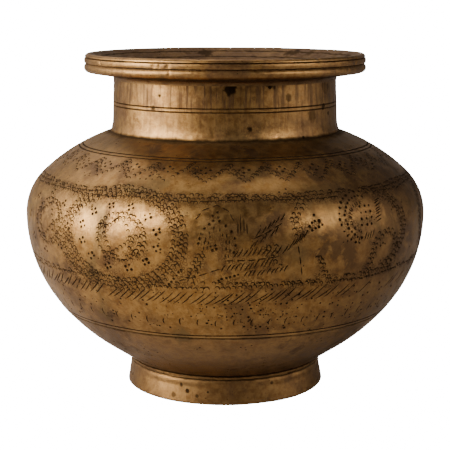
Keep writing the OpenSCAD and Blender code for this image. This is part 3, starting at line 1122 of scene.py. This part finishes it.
def build_rim(sizes):
    """The cast rim: three beads with two grooves between on its edge, a dished top with turned steps,
    a rounded mouth, the neck's seat and the sloping underside. Nicks flatten the beads here and there."""
    bore = sizes.neck_r - sizes.neck_wall
    under = np.array([sizes.neck_r, NECK_SEAT_TOP])
    seat_top = NECK_SEAT_TOP + RIM_SEAT
    low_r, mid_r, top_r, mouth_r = 2.3, 3.6, 1.7, 3.0
    low_c = np.array([RIM_R - low_r, RIM_Z - 8.9 + low_r])
    low_groove = np.array([RIM_R - 0.95, low_c[1] + low_r - 0.35])
    mid_c = np.array([RIM_R - mid_r - 0.1, low_groove[1] + 1.35])
    top_groove = low_groove + np.array([0, 2.65])
    top_c = np.array([RIM_R - 0.4 - top_r, RIM_Z - top_r])
    mouth_c = np.array([bore + mouth_r, RIM_Z - 8.1])
    dish = line(polar(top_c, top_r, 116), polar(mouth_c, mouth_r, 116), 0.35)
    steps = np.arange(len(dish))
    dish[1:-1, 1] -= 0.03 * ((steps % 7) < 3)[1:-1] + 0.02 * ((steps % 11) == 5)[1:-1]
    section = joined(
        (bore, seat_top),
        (sizes.neck_r, seat_top),
        under,
        line(under, polar(low_c, low_r, -80), 1.5),
        arc(low_c, low_r, -80, 42, 11),
        low_groove,
        arc(mid_c, mid_r, -17, 17, 6),
        top_groove,
        arc(top_c, top_r, 4, 116, 11),
        dish,
        arc(mouth_c, mouth_r, 116, 180, 8),
        line((bore, mouth_c[1]), (bore, seat_top), 1.5),
    )
    rng = np.random.default_rng(21)
    turns = rng.uniform(-np.pi, np.pi, NICKS)
    heights = rng.choice([low_c[1], mid_c[1], top_c[1], RIM_Z], NICKS)
    widths = rng.uniform(0.4, 1.2, NICKS)

    def uneven(t, r, z):
        edge = np.clip((r - (RIM_R - 5)) / 2.0, 0, 1)
        wave = handmade(t, 0.0, 17, 0.2)
        cut_in = np.zeros_like(r)
        for at, height, wide in zip(turns, heights, widths):
            turn = np.angle(np.exp(1j * (t - at))) * r
            cut_in += np.exp(-((turn / wide) ** 2) - ((z - height) / 1.1) ** 2)
        groove_play = 0.06 * np.sin(9 * t + 1.3) * np.exp(-((z - low_groove[1]) / 0.5) ** 2)
        crest = np.clip((z - (RIM_Z - 1.2)) / 1.2, 0, 1) * edge
        inner = np.clip((r - (bore + 0.5)) / 2, 0, 1) * (z > NECK_SEAT_TOP + 2)
        tool = inner * 0.05 * np.sin(5 * t + 1.1 * r)
        nicked = sizes.nick * np.clip(cut_in, 0, 1)
        change_r = -edge * (wave + groove_play + nicked)
        change_z = -crest * (handmade(t, 0.0, 19, 0.3) + 0.7 * nicked) - np.abs(tool)
        return change_r, change_z

    return shade(turned("rim_ring_turned", section, 720, uneven), 40)


# ---- Materials ------------------------------------------------------------------------------


class Nodes:
    """Short calls to add nodes to a tree."""

    def __init__(self, tree):
        self.tree = tree

    def add(self, kind, values=None, **settings):
        """A node with some of its settings and its input values or links."""
        node = self.tree.nodes.new(kind)
        for key, value in settings.items():
            setattr(node, key, value)
        for key, value in (values or {}).items():
            socket = node.inputs[key]
            if isinstance(value, bpy.types.NodeSocket):
                self.tree.links.new(value, socket)
            else:
                socket.default_value = value
        return node

    def math(self, operation, first, second=0.0, clamp=False):
        """A Math node's output."""
        node = self.add("ShaderNodeMath", {0: first, 1: second}, operation=operation, use_clamp=clamp)
        return node.outputs[0]

    def ramp(self, value, low, high, start=0.0, end=1.0):
        """A value mapped smoothly from low..high to start..end."""
        values = {"Value": value, "From Min": low, "From Max": high, "To Min": start, "To Max": end}
        return self.add("ShaderNodeMapRange", values, interpolation_type="SMOOTHSTEP").outputs["Result"]

    def mix(self, factor, first, second, blend="MIX"):
        """Two colours mixed."""
        node = self.add("ShaderNodeMix", {"Factor": factor}, data_type="RGBA", blend_type=blend)
        for socket, value in zip((node.inputs[6], node.inputs[7]), (first, second)):
            if isinstance(value, bpy.types.NodeSocket):
                self.tree.links.new(value, socket)
            else:
                socket.default_value = value
        return node.outputs[2]

    def noise(self, vector, scale, detail=4.0, rough=0.55, distortion=0.0):
        """Noise from 0 to 1."""
        values = {"Vector": vector, "Scale": scale, "Detail": detail, "Roughness": rough}
        values["Distortion"] = distortion
        return self.add("ShaderNodeTexNoise", values).outputs["Fac"]

    def vector(self, operation, first, second):
        """A Vector Math node's vector."""
        return self.add("ShaderNodeVectorMath", {0: first, 1: second}, operation=operation).outputs[0]


def new_group(name, inputs, outputs):
    """An empty shader node group with named sockets, given as (name, kind, default) and (name, kind)."""
    group = bpy.data.node_groups.new(name, "ShaderNodeTree")
    for label, kind, default in inputs:
        socket = group.interface.new_socket(label, in_out="INPUT", socket_type="NodeSocket" + kind)
        if default is not None:
            socket.default_value = default
    for label, kind in outputs:
        group.interface.new_socket(label, in_out="OUTPUT", socket_type="NodeSocket" + kind)
    nodes = Nodes(group)
    return group, nodes, nodes.add("NodeGroupInput"), nodes.add("NodeGroupOutput")


PATINA_MASKS = ("Red", "Olive", "Mottle", "Stain", "Specks")


def patina_group():
    """Broad red-brown and olive clouds, small mottling and dark fly specks, as masks."""
    group, n, source, sink = new_group(
        "Patina",
        [("Vector", "Vector", None), ("Cloud size", "Float", 30.0), ("Speck size", "Float", 400.0)],
        [(mask, "Float") for mask in PATINA_MASKS],
    )
    vector = source.outputs["Vector"]
    shifted = n.vector("ADD", vector, (0.37, 0.11, 0.23))
    cloud = n.noise(vector, source.outputs["Cloud size"], 6.0, 0.62, 0.6)
    green = n.noise(shifted, source.outputs["Cloud size"], 5.0, 0.6, 0.9)
    fine = n.noise(vector, n.math("MULTIPLY", source.outputs["Cloud size"], 9.0), 8.0, 0.8)
    cells = n.add("ShaderNodeTexVoronoi", {"Vector": shifted, "Scale": source.outputs["Speck size"]})
    size = n.noise(vector, 90.0, 2.0)
    spot = n.math("LESS_THAN", cells.outputs["Distance"], n.ramp(size, 0.44, 0.8, 0.0, 0.3))
    n.tree.links.new(n.ramp(cloud, 0.48, 0.68), sink.inputs["Red"])
    n.tree.links.new(n.ramp(green, 0.52, 0.7), sink.inputs["Olive"])
    n.tree.links.new(n.ramp(fine, 0.36, 0.64), sink.inputs["Mottle"])
    blot = n.noise(shifted, n.math("MULTIPLY", source.outputs["Cloud size"], 3.2), 8.0, 0.72, 0.4)
    where = n.noise(vector, n.math("MULTIPLY", source.outputs["Cloud size"], 0.7), 3.0)
    stain = n.math("MULTIPLY", n.ramp(blot, 0.5, 0.66), n.ramp(where, 0.4, 0.62, 0.15, 1.0))
    n.tree.links.new(stain, sink.inputs["Stain"])
    n.tree.links.new(spot, sink.inputs["Specks"])
    return group


def scratch_group():
    """Fine scratches: noise stretched hard along one axis, sharpened into thin lines."""
    group, n, source, sink = new_group(
        "Scratches",
        [("Vector", "Vector", None), ("Stretch", "Vector", (600.0, 600.0, 20.0)), ("Share", "Float", 0.5)],
        [("Lines", "Float")],
    )
    stretched = n.vector("MULTIPLY", source.outputs["Vector"], source.outputs["Stretch"])
    value = n.noise(stretched, 1.0, 3.0, 0.7)
    patch = n.noise(source.outputs["Vector"], 45.0, 3.0)
    line_mask = n.ramp(value, 0.6, 0.72)
    here = n.ramp(patch, 0.62, 0.42)
    share = n.math("MULTIPLY", here, source.outputs["Share"])
    n.tree.links.new(n.math("MULTIPLY", line_mask, share), sink.inputs["Lines"])
    return group


# What lies over the bare brass, from below: mask, strength and colour
LAYERS = (
    ("Worn", 0.85, "bright"),
    ("Red", 0.65, "red"),
    ("Olive", 0.6, "olive"),
    # Dark holds patina, stains and painted shade alike.
    ("Dark", 0.8, "red"),
    ("Dark", 0.3, "dirt"),
    ("Stain", 0.6, "stain"),
    ("Lines", 0.7, "stain"),
    ("Specks", 0.8, "dirt"),
)
# Roughness of clean brass, and how much rougher each mask makes it
CLEAN_ROUGHNESS = 0.265
ROUGHER = {"Red": 0.1, "Olive": 0.14, "Stain": 0.14, "Dark": 0.14, "Lines": 0.1, "Dirt": 0.4, "Specks": 0.3}


def brass_group(colours):
    """Brass colour and roughness from the patina's masks, wear, crowding, dirt and painted shade."""
    group, n, source, sink = new_group(
        "Aged brass",
        [
            ("Red", "Float", 0.0),
            ("Olive", "Float", 0.0),
            ("Mottle", "Float", 0.5),
            ("Stain", "Float", 0.0),
            ("Specks", "Float", 0.0),
            ("Lines", "Float", 0.0),
            ("Worn", "Float", 0.0),
            ("Dark", "Float", 0.0),
            ("Dirt", "Float", 0.0),
        ],
        [("Color", "Color"), ("Roughness", "Float"), ("Height", "Float")],
    )
    take = source.outputs
    base = n.mix(n.math("MULTIPLY", take["Mottle"], 0.85), tuple(colours.mid), tuple(colours.bright))
    for mask, strength, colour in LAYERS:
        base = n.mix(n.math("MULTIPLY", take[mask], strength), base, tuple(getattr(colours, colour)))
    base = n.mix(n.math("MULTIPLY", take["Dirt"], 1.0, True), base, tuple(colours.dirt))
    rough = n.math("ADD", CLEAN_ROUGHNESS, n.math("MULTIPLY", take["Mottle"], 0.1))
    for mask, more in ROUGHER.items():
        rough = n.math("ADD", rough, n.math("MULTIPLY", take[mask], more))
    rough = n.math("SUBTRACT", rough, n.math("MULTIPLY", take["Worn"], 0.05))
    height = n.math("ADD", n.math("MULTIPLY", take["Mottle"], 0.5), n.math("MULTIPLY", take["Lines"], -0.6))
    height = n.math("ADD", height, n.math("MULTIPLY", take["Specks"], -1.0))
    n.tree.links.new(base, sink.inputs["Color"])
    n.tree.links.new(n.math("MINIMUM", rough, 0.9), sink.inputs["Roughness"])
    n.tree.links.new(height, sink.inputs["Height"])
    return group


def height_band(n, z, places, reach):
    """A mask that is 1 at given heights in metres and fades away over reach."""
    total = 0.0
    for place in places:
        gap = n.math("ABSOLUTE", n.math("SUBTRACT", z, place))
        band = n.ramp(gap, 0.0, reach, 1.0, 0.0)
        total = band if isinstance(total, float) else n.math("MAXIMUM", total, band)
    return total


# Depth of the finest roughness, in metres
BUMP_DEPTH = 0.0002


def brass_material(name, groups, **look):
    """One brass finish: patina, scratches, dirt and painted shade placed with this piece's own values."""
    material = bpy.data.materials.new(name)
    material.use_nodes = True
    tree = material.node_tree
    tree.nodes.clear()
    n = Nodes(tree)
    place = n.add("ShaderNodeTexCoord").outputs["Object"]
    parts = n.add("ShaderNodeSeparateXYZ", {0: place}).outputs
    patina = n.add("ShaderNodeGroup", node_tree=groups["patina"])
    tree.links.new(place, patina.inputs["Vector"])
    patina.inputs["Cloud size"].default_value = look.get("cloud", 30.0)
    patina.inputs["Speck size"].default_value = look.get("speck", 420.0)
    scratch = n.add("ShaderNodeGroup", node_tree=groups["scratch"])
    tree.links.new(place, scratch.inputs["Vector"])
    scratch.inputs["Stretch"].default_value = look.get("stretch", (500.0, 500.0, 30.0))
    scratch.inputs["Share"].default_value = look.get("scratches", 0.6)
    brass = n.add("ShaderNodeGroup", node_tree=groups["brass"])
    for mask in PATINA_MASKS:
        tree.links.new(patina.outputs[mask], brass.inputs[mask])
    tree.links.new(scratch.outputs["Lines"], brass.inputs["Lines"])

    # Painted shade: darker towards +X, the side turned away from the key softboxes.
    dark = n.math("MULTIPLY", n.ramp(parts["X"], -0.01, 0.085), look.get("painted_shade_right", 0.35))
    # Painted shade: darker towards the bottom, where the underside gets little light.
    low = n.ramp(parts["Z"], 0.06, 0.015)
    dark = n.math("MAXIMUM", dark, n.math("MULTIPLY", low, look.get("painted_shade_low", 0.45)))
    # Painted shade: the shoulder under the neck is darkened, to damp the neck's bright reflection in it.
    if "painted_shade_top" in look:
        first, last, amount = look["painted_shade_top"]
        high = n.ramp(parts["Z"], first, last, 0.0, amount)
        dark = n.math("MAXIMUM", dark, high)
    if "dish" in look:
        flat = n.vector("MULTIPLY", place, (1.0, 1.0, 0.0))
        radius = n.add("ShaderNodeVectorMath", {0: flat}, operation="LENGTH").outputs["Value"]
        inside = n.ramp(radius, look["dish"], look["dish"] - 0.0015)
        inside = n.math("MULTIPLY", inside, n.ramp(parts["Z"], 0.15, 0.1515))
        clouds = n.ramp(n.noise(place, 70.0, 6.0, 0.65), 0.35, 0.65, 0.55, 1.0)
        dark = n.math("MAXIMUM", dark, n.math("MULTIPLY", inside, clouds))
    ragged = n.noise(place, 220.0, 4.0, 0.6)
    wobble = n.math("ADD", parts["Z"], n.math("MULTIPLY", n.math("SUBTRACT", ragged, 0.5), 0.0012))
    # Dirt and painted shade: dark bands at given heights, in the joints, the grooves and along the foot's
    # lower edge on the floor.
    if "crevice_shade_and_dirt" in look:
        crevice = height_band(n, wobble, look["crevice_shade_and_dirt"], look.get("crevice_reach", 0.0012))
        dirt = n.math("MULTIPLY", crevice, look.get("crevice_dirt", 0.85))
    else:
        dirt = n.math("MULTIPLY", ragged, 0.0)
    if "lines" in look:
        thin = height_band(n, parts["Z"], look["lines"], 0.0005)
        dirt = n.math("MAXIMUM", dirt, n.math("MULTIPLY", thin, 0.9))
    # Painted shade under the rim: below a height, the colour turns to the dark dirt colour.
    if "under" in look:
        dirt = n.math("MAXIMUM", dirt, n.ramp(wobble, *look["under"], 0.0, 0.85))
    if "streaks" in look:
        drawn = n.vector("MULTIPLY", place, (1.0, 1.0, 0.07))
        streak = n.ramp(n.noise(drawn, 620.0, 3.0, 0.6), 0.46, 0.66)
        streak = n.math("MULTIPLY", streak, n.ramp(parts["Z"], *look["streaks"], 0.2, 0.75))
        dark = n.math("ADD", dark, streak, True)
    for at, reach, strength in look.get("spots", ()):
        gap = n.add("ShaderNodeVectorMath", {0: place, 1: at}, operation="DISTANCE").outputs["Value"]
        gap = n.math("ADD", gap, n.math("MULTIPLY", n.math("SUBTRACT", ragged, 0.5), reach * 2.4))
        dirt = n.math("MAXIMUM", dirt, n.ramp(gap, reach, reach * 0.45, 0.0, strength))
    if "grey_top" in look:
        greyed = n.ramp(parts["Z"], *look["grey_top"], 0.0, 0.6)
        olive = n.math("ADD", patina.outputs["Olive"], greyed, True)
        tree.links.new(olive, brass.inputs["Olive"])
    if "redden" in look:
        tree.links.new(n.math("ADD", patina.outputs["Red"], look["redden"], True), brass.inputs["Red"])
    if look.get("marks"):
        cells = n.add("ShaderNodeTexVoronoi", {"Vector": place, "Scale": 620.0, "Randomness": 0.9})
        curls = n.math("ABSOLUTE", n.math("SUBTRACT", cells.outputs["Distance"], 0.42))
        curls = n.ramp(curls, 0.12, 0.03)
        marks = n.add("ShaderNodeAttribute", attribute_name="dirt").outputs["Fac"]
        crowd = n.add("ShaderNodeAttribute", attribute_name="crowding").outputs["Fac"]
        uneven = n.ramp(n.noise(place, 60.0, 3.0), 0.3, 0.7, 0.92, 1.0)
        dirt = n.math("MAXIMUM", dirt, n.math("MULTIPLY", marks, uneven))
        filled = n.math("MULTIPLY", curls, n.ramp(crowd, 0.35, 0.9, 0.0, 0.6))
        dirt = n.math("MAXIMUM", dirt, filled)
        dark = n.math("ADD", dark, n.math("MULTIPLY", crowd, n.ramp(ragged, 0.3, 0.7, 0.15, 0.6)), True)
        stains = n.add("ShaderNodeAttribute", attribute_name="stains").outputs["Fac"]
        torn = n.noise(place, 130.0, 8.0, 0.7, 0.5)
        stains = n.math("MULTIPLY", stains, n.ramp(torn, 0.42, 0.6, 0.1, 1.5))
        dark = n.math("ADD", dark, stains, True)
    dark = n.math("ADD", dark, look.get("tone", 0.0), True)
    worn = n.ramp(n.add("ShaderNodeNewGeometry").outputs["Pointiness"], 0.51, 0.58)
    tree.links.new(worn, brass.inputs["Worn"])
    tree.links.new(dark, brass.inputs["Dark"])
    tree.links.new(dirt, brass.inputs["Dirt"])

    bump = n.add("ShaderNodeBump", {"Height": brass.outputs["Height"], "Strength": look.get("bump", 0.35)})
    bump.inputs["Distance"].default_value = BUMP_DEPTH
    shader = n.add("ShaderNodeBsdfPrincipled")
    shader.inputs["Metallic"].default_value = 1.0
    shader.inputs["Specular IOR Level"].default_value = 0.5
    tree.links.new(brass.outputs["Color"], shader.inputs["Base Color"])
    tree.links.new(brass.outputs["Roughness"], shader.inputs["Roughness"])
    tree.links.new(bump.outputs["Normal"], shader.inputs["Normal"])
    out = n.add("ShaderNodeOutputMaterial")
    tree.links.new(shader.outputs[0], out.inputs["Surface"])
    return material


def spots_round(radius, rows):
    """Spots as places and reach in metres and strength, from degrees, height and reach in mm, and
    strength."""
    spots = []
    for deg, z, reach, strength in rows:
        turn = np.radians(deg)
        place = np.array([radius * np.sin(turn), -radius * np.cos(turn), z]) * MM
        spots.append((tuple(place), reach * MM, strength))
    return tuple(spots)


# Dark spots on the neck and the foot: degrees, height, reach in mm and strength
NECK_SPOTS = spots_round(
    53.0,
    (
        (2.5, 145.0, 3.4, 0.95),
        (22.0, 147.0, 3.2, 0.8),
        (-37.0, 136.0, 1.6, 0.8),
        (12.0, 127.5, 1.7, 0.9),
        (-33.0, 141.5, 1.3, 0.8),
        (32.0, 141.0, 2.2, 0.5),
        (47.0, 132.0, 3.5, 0.5),
        (60.0, 144.0, 4.0, 0.5),
        (14.0, 141.0, 1.5, 0.5),
        (120.0, 140.0, 3.5, 0.7),
        (200.0, 130.0, 4.0, 0.6),
        (250.0, 145.0, 3.0, 0.6),
    ),
)
FOOT_SPOTS = spots_round(
    46.5,
    (
        (-22.0, 6.0, 1.3, 0.9),
        (-26.0, 8.5, 1.0, 0.8),
        (-16.0, 4.0, 1.1, 0.8),
        (-30.0, 3.0, 1.5, 0.6),
        (28.0, 9.0, 1.3, 0.7),
        (100.0, 6.0, 2.0, 0.6),
        (210.0, 7.0, 2.0, 0.6),
    ),
)
# Dark spots on the rim's dished top: place in metres, reach in metres and strength
DISH_SPOTS = (
    ((-0.010, 0.057, 0.1555), 0.0050, 0.7),
    ((-0.020, 0.056, 0.1555), 0.0030, 0.6),
    ((0.034, 0.048, 0.1555), 0.0050, 0.75),
    ((0.043, 0.042, 0.1555), 0.0035, 0.6),
    ((-0.045, -0.035, 0.1560), 0.0040, 0.5),
)


def finishes(colours):
    """Every brass finish by its slot, made at the first call. Heights are in metres."""
    if "Aged brass" in bpy.data.node_groups:
        return {m.name.removeprefix("Lota "): m for m in bpy.data.materials if m.name.startswith("Lota ")}
    groups = {"patina": patina_group(), "scratch": scratch_group(), "brass": brass_group(colours)}
    looks = {
        "belly_brass": {
            "marks": True,
            "crevice_shade_and_dirt": (0.1222,),
            "crevice_reach": 0.0015,
            "lines": (SEAM_Z * MM,),
            "painted_shade_right": 0.55,
            "painted_shade_top": (0.110, 0.121, 0.3),
            "grey_top": (0.112, 0.121),
        },
        "bowl_brass": {
            "crevice_shade_and_dirt": (SEAM_Z * MM, 0.0135),
            "crevice_reach": 0.0012,
            "painted_shade_low": 0.6,
            "painted_shade_right": 0.4,
            "stretch": (120.0, 120.0, 900.0),
        },
        "neck_brass": {
            "crevice_shade_and_dirt": (0.1223, 0.1484),
            "crevice_reach": 0.0014,
            "lines": tuple(z * MM for z in NECK_LINES),
            "scratches": 1.0,
            "stretch": (1300.0, 1300.0, 80.0),
            "cloud": 40.0,
            "speck": 120.0,
            "painted_shade_right": 0.45,
            "streaks": (0.1350, 0.1380),
            "tone": 0.32,
            "spots": NECK_SPOTS,
        },
        "rim_brass": {
            "cloud": 55.0,
            "speck": 600.0,
            "painted_shade_right": 0.3,
            "dish": 0.0640,
            "redden": 0.45,
            "tone": 0.12,
            "spots": DISH_SPOTS,
            "crevice_shade_and_dirt": (0.15395, 0.1566),
            "crevice_reach": 0.00045,
            # Painted shade on the rim's underside, below this height.
            "under": (0.1506, 0.1494),
            "stretch": (60.0, 60.0, 1500.0),
        },
        "foot_brass": {
            "crevice_shade_and_dirt": (0.0116, 0.0, 0.0135),
            "crevice_reach": 0.0009,
            "painted_shade_low": 0.35,
            "speck": 260.0,
            "spots": FOOT_SPOTS,
            "tone": 0.25,
            "cloud": 45.0,
            "painted_shade_right": 0.35,
        },
        # The braze is dark partly as dirty brass and partly as painted shade of the corner under the rim.
        "braze": {"cloud": 90.0, "speck": 500.0, "bump": 0.8, "painted_shade_low": 0.3, "tone": 0.85},
    }
    return {slot: brass_material("Lota " + slot, groups, **look) for slot, look in looks.items()}


def finish_piece(piece, slot, *nodes):
    """Gives a piece its finish, and lets it ride and stand for its CAD nodes."""
    piece.data.materials.append(finishes(bpy.context.scene.lota_brass)[slot])
    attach(piece, "root")
    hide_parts(*nodes)


# ---- Operators ------------------------------------------------------------------------------


class LOTA_OT_belly_shell(bpy.types.Operator):
    """Build the punched belly shell"""

    bl_idname = "lota.belly_shell"
    bl_label = "Belly Shell"

    def execute(self, context):
        scene = context.scene
        finish_piece(build_belly(scene.lota_belly, scene.lota_punch), "belly_brass", "belly_shell")
        return {"FINISHED"}


class LOTA_OT_bowl_bottom(bpy.types.Operator):
    """Build the lower bowl"""

    bl_idname = "lota.bowl_bottom"
    bl_label = "Lower Bowl"

    def execute(self, context):
        finish_piece(build_bowl(context.scene.lota_belly), "bowl_brass", "bowl_bottom")
        return {"FINISHED"}


class LOTA_OT_foot_ring(bpy.types.Operator):
    """Build the cast foot ring"""

    bl_idname = "lota.foot_ring"
    bl_label = "Foot Ring"

    def execute(self, context):
        finish_piece(build_foot(context.scene.lota_belly), "foot_brass", "foot_ring")
        return {"FINISHED"}


class LOTA_OT_neck_collar(bpy.types.Operator):
    """Build the neck collar"""

    bl_idname = "lota.neck_collar"
    bl_label = "Neck Collar"

    def execute(self, context):
        finish_piece(build_neck(context.scene.lota_belly), "neck_brass", "neck_collar")
        return {"FINISHED"}


class LOTA_OT_rim_ring(bpy.types.Operator):
    """Build the cast rim"""

    bl_idname = "lota.rim_ring"
    bl_label = "Rim"

    def execute(self, context):
        finish_piece(build_rim(context.scene.lota_belly), "rim_brass", "rim_ring")
        return {"FINISHED"}


class LOTA_OT_braze(bpy.types.Operator):
    """Finish the four runs of braze"""

    bl_idname = "lota.braze"
    bl_label = "Braze"

    def execute(self, context):
        material = finishes(context.scene.lota_brass)["braze"]
        for name in ("foot_braze", "seam_braze", "neck_braze", "rim_braze"):
            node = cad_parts[name]
            node.data.materials.clear()
            node.data.materials.append(material)
        return {"FINISHED"}


class LOTA_OT_stage(bpy.types.Operator):
    """Set up the floor, the lights and the camera"""

    bl_idname = "lota.stage"
    bl_label = "Stage"

    def execute(self, context):
        settings = context.scene.lota_stage
        build_floor()
        build_lights(settings)
        build_camera(settings)
        return {"FINISHED"}


# ---- Stage ----------------------------------------------------------------------------------


# How brightly the sheet glows to the camera alone
SHEET_GLOW = 22.0


def build_floor():
    """A pale sheet: flat in front, carried up behind the pot in a quarter circle, then straight up to
    its edge."""
    near, bend, bend_r, edge = -2.0, 1.2, 0.8, 3.0
    turn = np.linspace(0.1, np.pi / 2, 16)
    depth = np.concatenate([np.linspace(near, bend, 9), bend + bend_r * np.sin(turn), [bend + bend_r]])
    rise = np.concatenate([np.zeros(9), bend_r - bend_r * np.cos(turn), [edge]])
    across = np.linspace(-3.0, 3.0, 13)
    x, y = np.meshgrid(across, depth, indexing="ij")
    z = np.broadcast_to(rise, x.shape)
    points = np.stack([x, y, z], -1) / MM
    ids = np.arange(x.size).reshape(x.shape)
    quads = np.stack([ids[:-1, :-1], ids[1:, :-1], ids[1:, 1:], ids[:-1, 1:]], -1).reshape(-1, 4)
    floor = make_mesh("studio_sheet", points.reshape(-1, 3), quads.ravel(), np.full(len(quads), 4))
    floor.data.shade_smooth()
    material = bpy.data.materials.new("Pale sheet")
    material.use_nodes = True
    n = Nodes(material.node_tree)
    shader = material.node_tree.nodes["Principled BSDF"]
    shader.inputs["Roughness"].default_value = 0.9
    seen = n.add("ShaderNodeLightPath").outputs["Is Camera Ray"]
    place = n.add("ShaderNodeTexCoord").outputs["Object"]
    tone = n.mix(n.noise(place, 3.0), (0.88, 0.88, 0.87, 1), (0.92, 0.92, 0.91, 1))
    links = material.node_tree.links
    links.new(n.mix(seen, (0.43, 0.405, 0.37, 1), tone), shader.inputs["Base Color"])
    links.new(tone, shader.inputs["Emission Color"])
    links.new(n.math("MULTIPLY", seen, SHEET_GLOW), shader.inputs["Emission Strength"])
    floor.data.materials.append(material)


def softbox(name, place, target, size, power):
    """A rectangular softbox at a place, facing a target."""
    light = bpy.data.lights.new(name, "AREA")
    light.shape = "RECTANGLE"
    light.size, light.size_y = size
    light.energy = power
    lamp = bpy.data.objects.new(name, light)
    lamp.location = place
    lamp.rotation_euler = (Vector(target) - Vector(place)).to_track_quat("-Z", "Y").to_euler()
    bpy.context.scene.collection.objects.link(lamp)
    return lamp


BELLY_MIDDLE = (0, 0, 0.09)
# Softboxes that face the belly: name, place and size in metres, the setting of their power, and how
# many times that power they have
SOFTBOXES = (
    ("left_low_softbox", (-0.85, -0.265, 0.27), (0.50, 0.32), "key", 0.38),
    ("left_high_softbox", (-0.765, -0.455, 0.57), (0.58, 0.34), "key", 0.52),
    ("left_side_softbox", (-0.94, 0.34, 0.42), (0.5, 0.6), "key", 0.1),
    ("right_softbox", (0.66, -0.46, 0.44), (0.20, 0.22), "fill", 1.6),
    ("right_edge_softbox", (0.95, -0.10, 0.30), (0.30, 0.6), "fill", 1.2),
    ("top_softbox", (-0.55, 0.2, 1.0), (0.9, 0.8), "top", 1.35),
)


def build_lights(settings):
    """Three softboxes on the left, two weaker ones on the right, one overhead and one for the sheet, in
    a dim room."""
    for name, place, size, setting, share in SOFTBOXES:
        softbox(name, place, BELLY_MIDDLE, size, getattr(settings, setting) * share)
    softbox("sheet_light", (-0.5, 0.9, 1.6), (0, 1.6, 0.3), (2.4, 0.8), settings.key)
    world = bpy.context.scene.world or bpy.data.worlds.new("Room")
    bpy.context.scene.world = world
    world.use_nodes = True
    background = world.node_tree.nodes.get("Background")
    background.inputs["Color"].default_value = (0.9, 0.92, 1.0, 1)
    background.inputs["Strength"].default_value = settings.sky


def build_camera(settings):
    """The camera in front of the pot, pitched down."""
    data = bpy.data.cameras.new("camera")
    data.lens = settings.lens
    data.sensor_width = 36.0
    data.clip_start = 0.01
    camera = bpy.data.objects.new("camera", data)
    camera.location = (0, -settings.distance, settings.height)
    camera.rotation_euler = (np.radians(settings.pitch), 0, 0)
    bpy.context.scene.collection.objects.link(camera)
    bpy.context.scene.camera = camera


# ---- Panel and registration -----------------------------------------------------------------

OPERATORS = (
    LOTA_OT_bowl_bottom,
    LOTA_OT_belly_shell,
    LOTA_OT_foot_ring,
    LOTA_OT_neck_collar,
    LOTA_OT_rim_ring,
    LOTA_OT_braze,
    LOTA_OT_stage,
)


class LOTA_PT_panel(bpy.types.Panel):
    """Sidebar panel with the pot's settings and pieces."""

    bl_label = "Brass Lota"
    bl_idname = "LOTA_PT_panel"
    bl_space_type = "VIEW_3D"
    bl_region_type = "UI"
    bl_category = "Lota"

    def draw(self, context):
        layout = self.layout
        for group in ("lota_belly", "lota_punch", "lota_brass", "lota_stage"):
            settings = getattr(context.scene, group)
            box = layout.box()
            for key in settings.__annotations__:
                box.prop(settings, key)
        for operator in OPERATORS:
            layout.operator(operator.bl_idname)


SETTINGS = {
    "lota_belly": BellySettings,
    "lota_punch": PunchSettings,
    "lota_brass": BrassSettings,
    "lota_stage": StageSettings,
}


def register():
    """Registers the classes and hangs the settings on the scene."""
    for cls in (*SETTINGS.values(), *OPERATORS, LOTA_PT_panel):
        bpy.utils.register_class(cls)
    for name, cls in SETTINGS.items():
        setattr(bpy.types.Scene, name, PointerProperty(type=cls))


def unregister():
    """Takes the settings and the classes away again."""
    for name in SETTINGS:
        delattr(bpy.types.Scene, name)
    for cls in (LOTA_PT_panel, *reversed(OPERATORS), *SETTINGS.values()):
        bpy.utils.unregister_class(cls)


def main():
    """Builds every piece and the stage."""
    register()
    for operator in OPERATORS:
        namespace, name = operator.bl_idname.split(".")
        getattr(getattr(bpy.ops, namespace), name)()


if __name__ == "__main__":
    main()
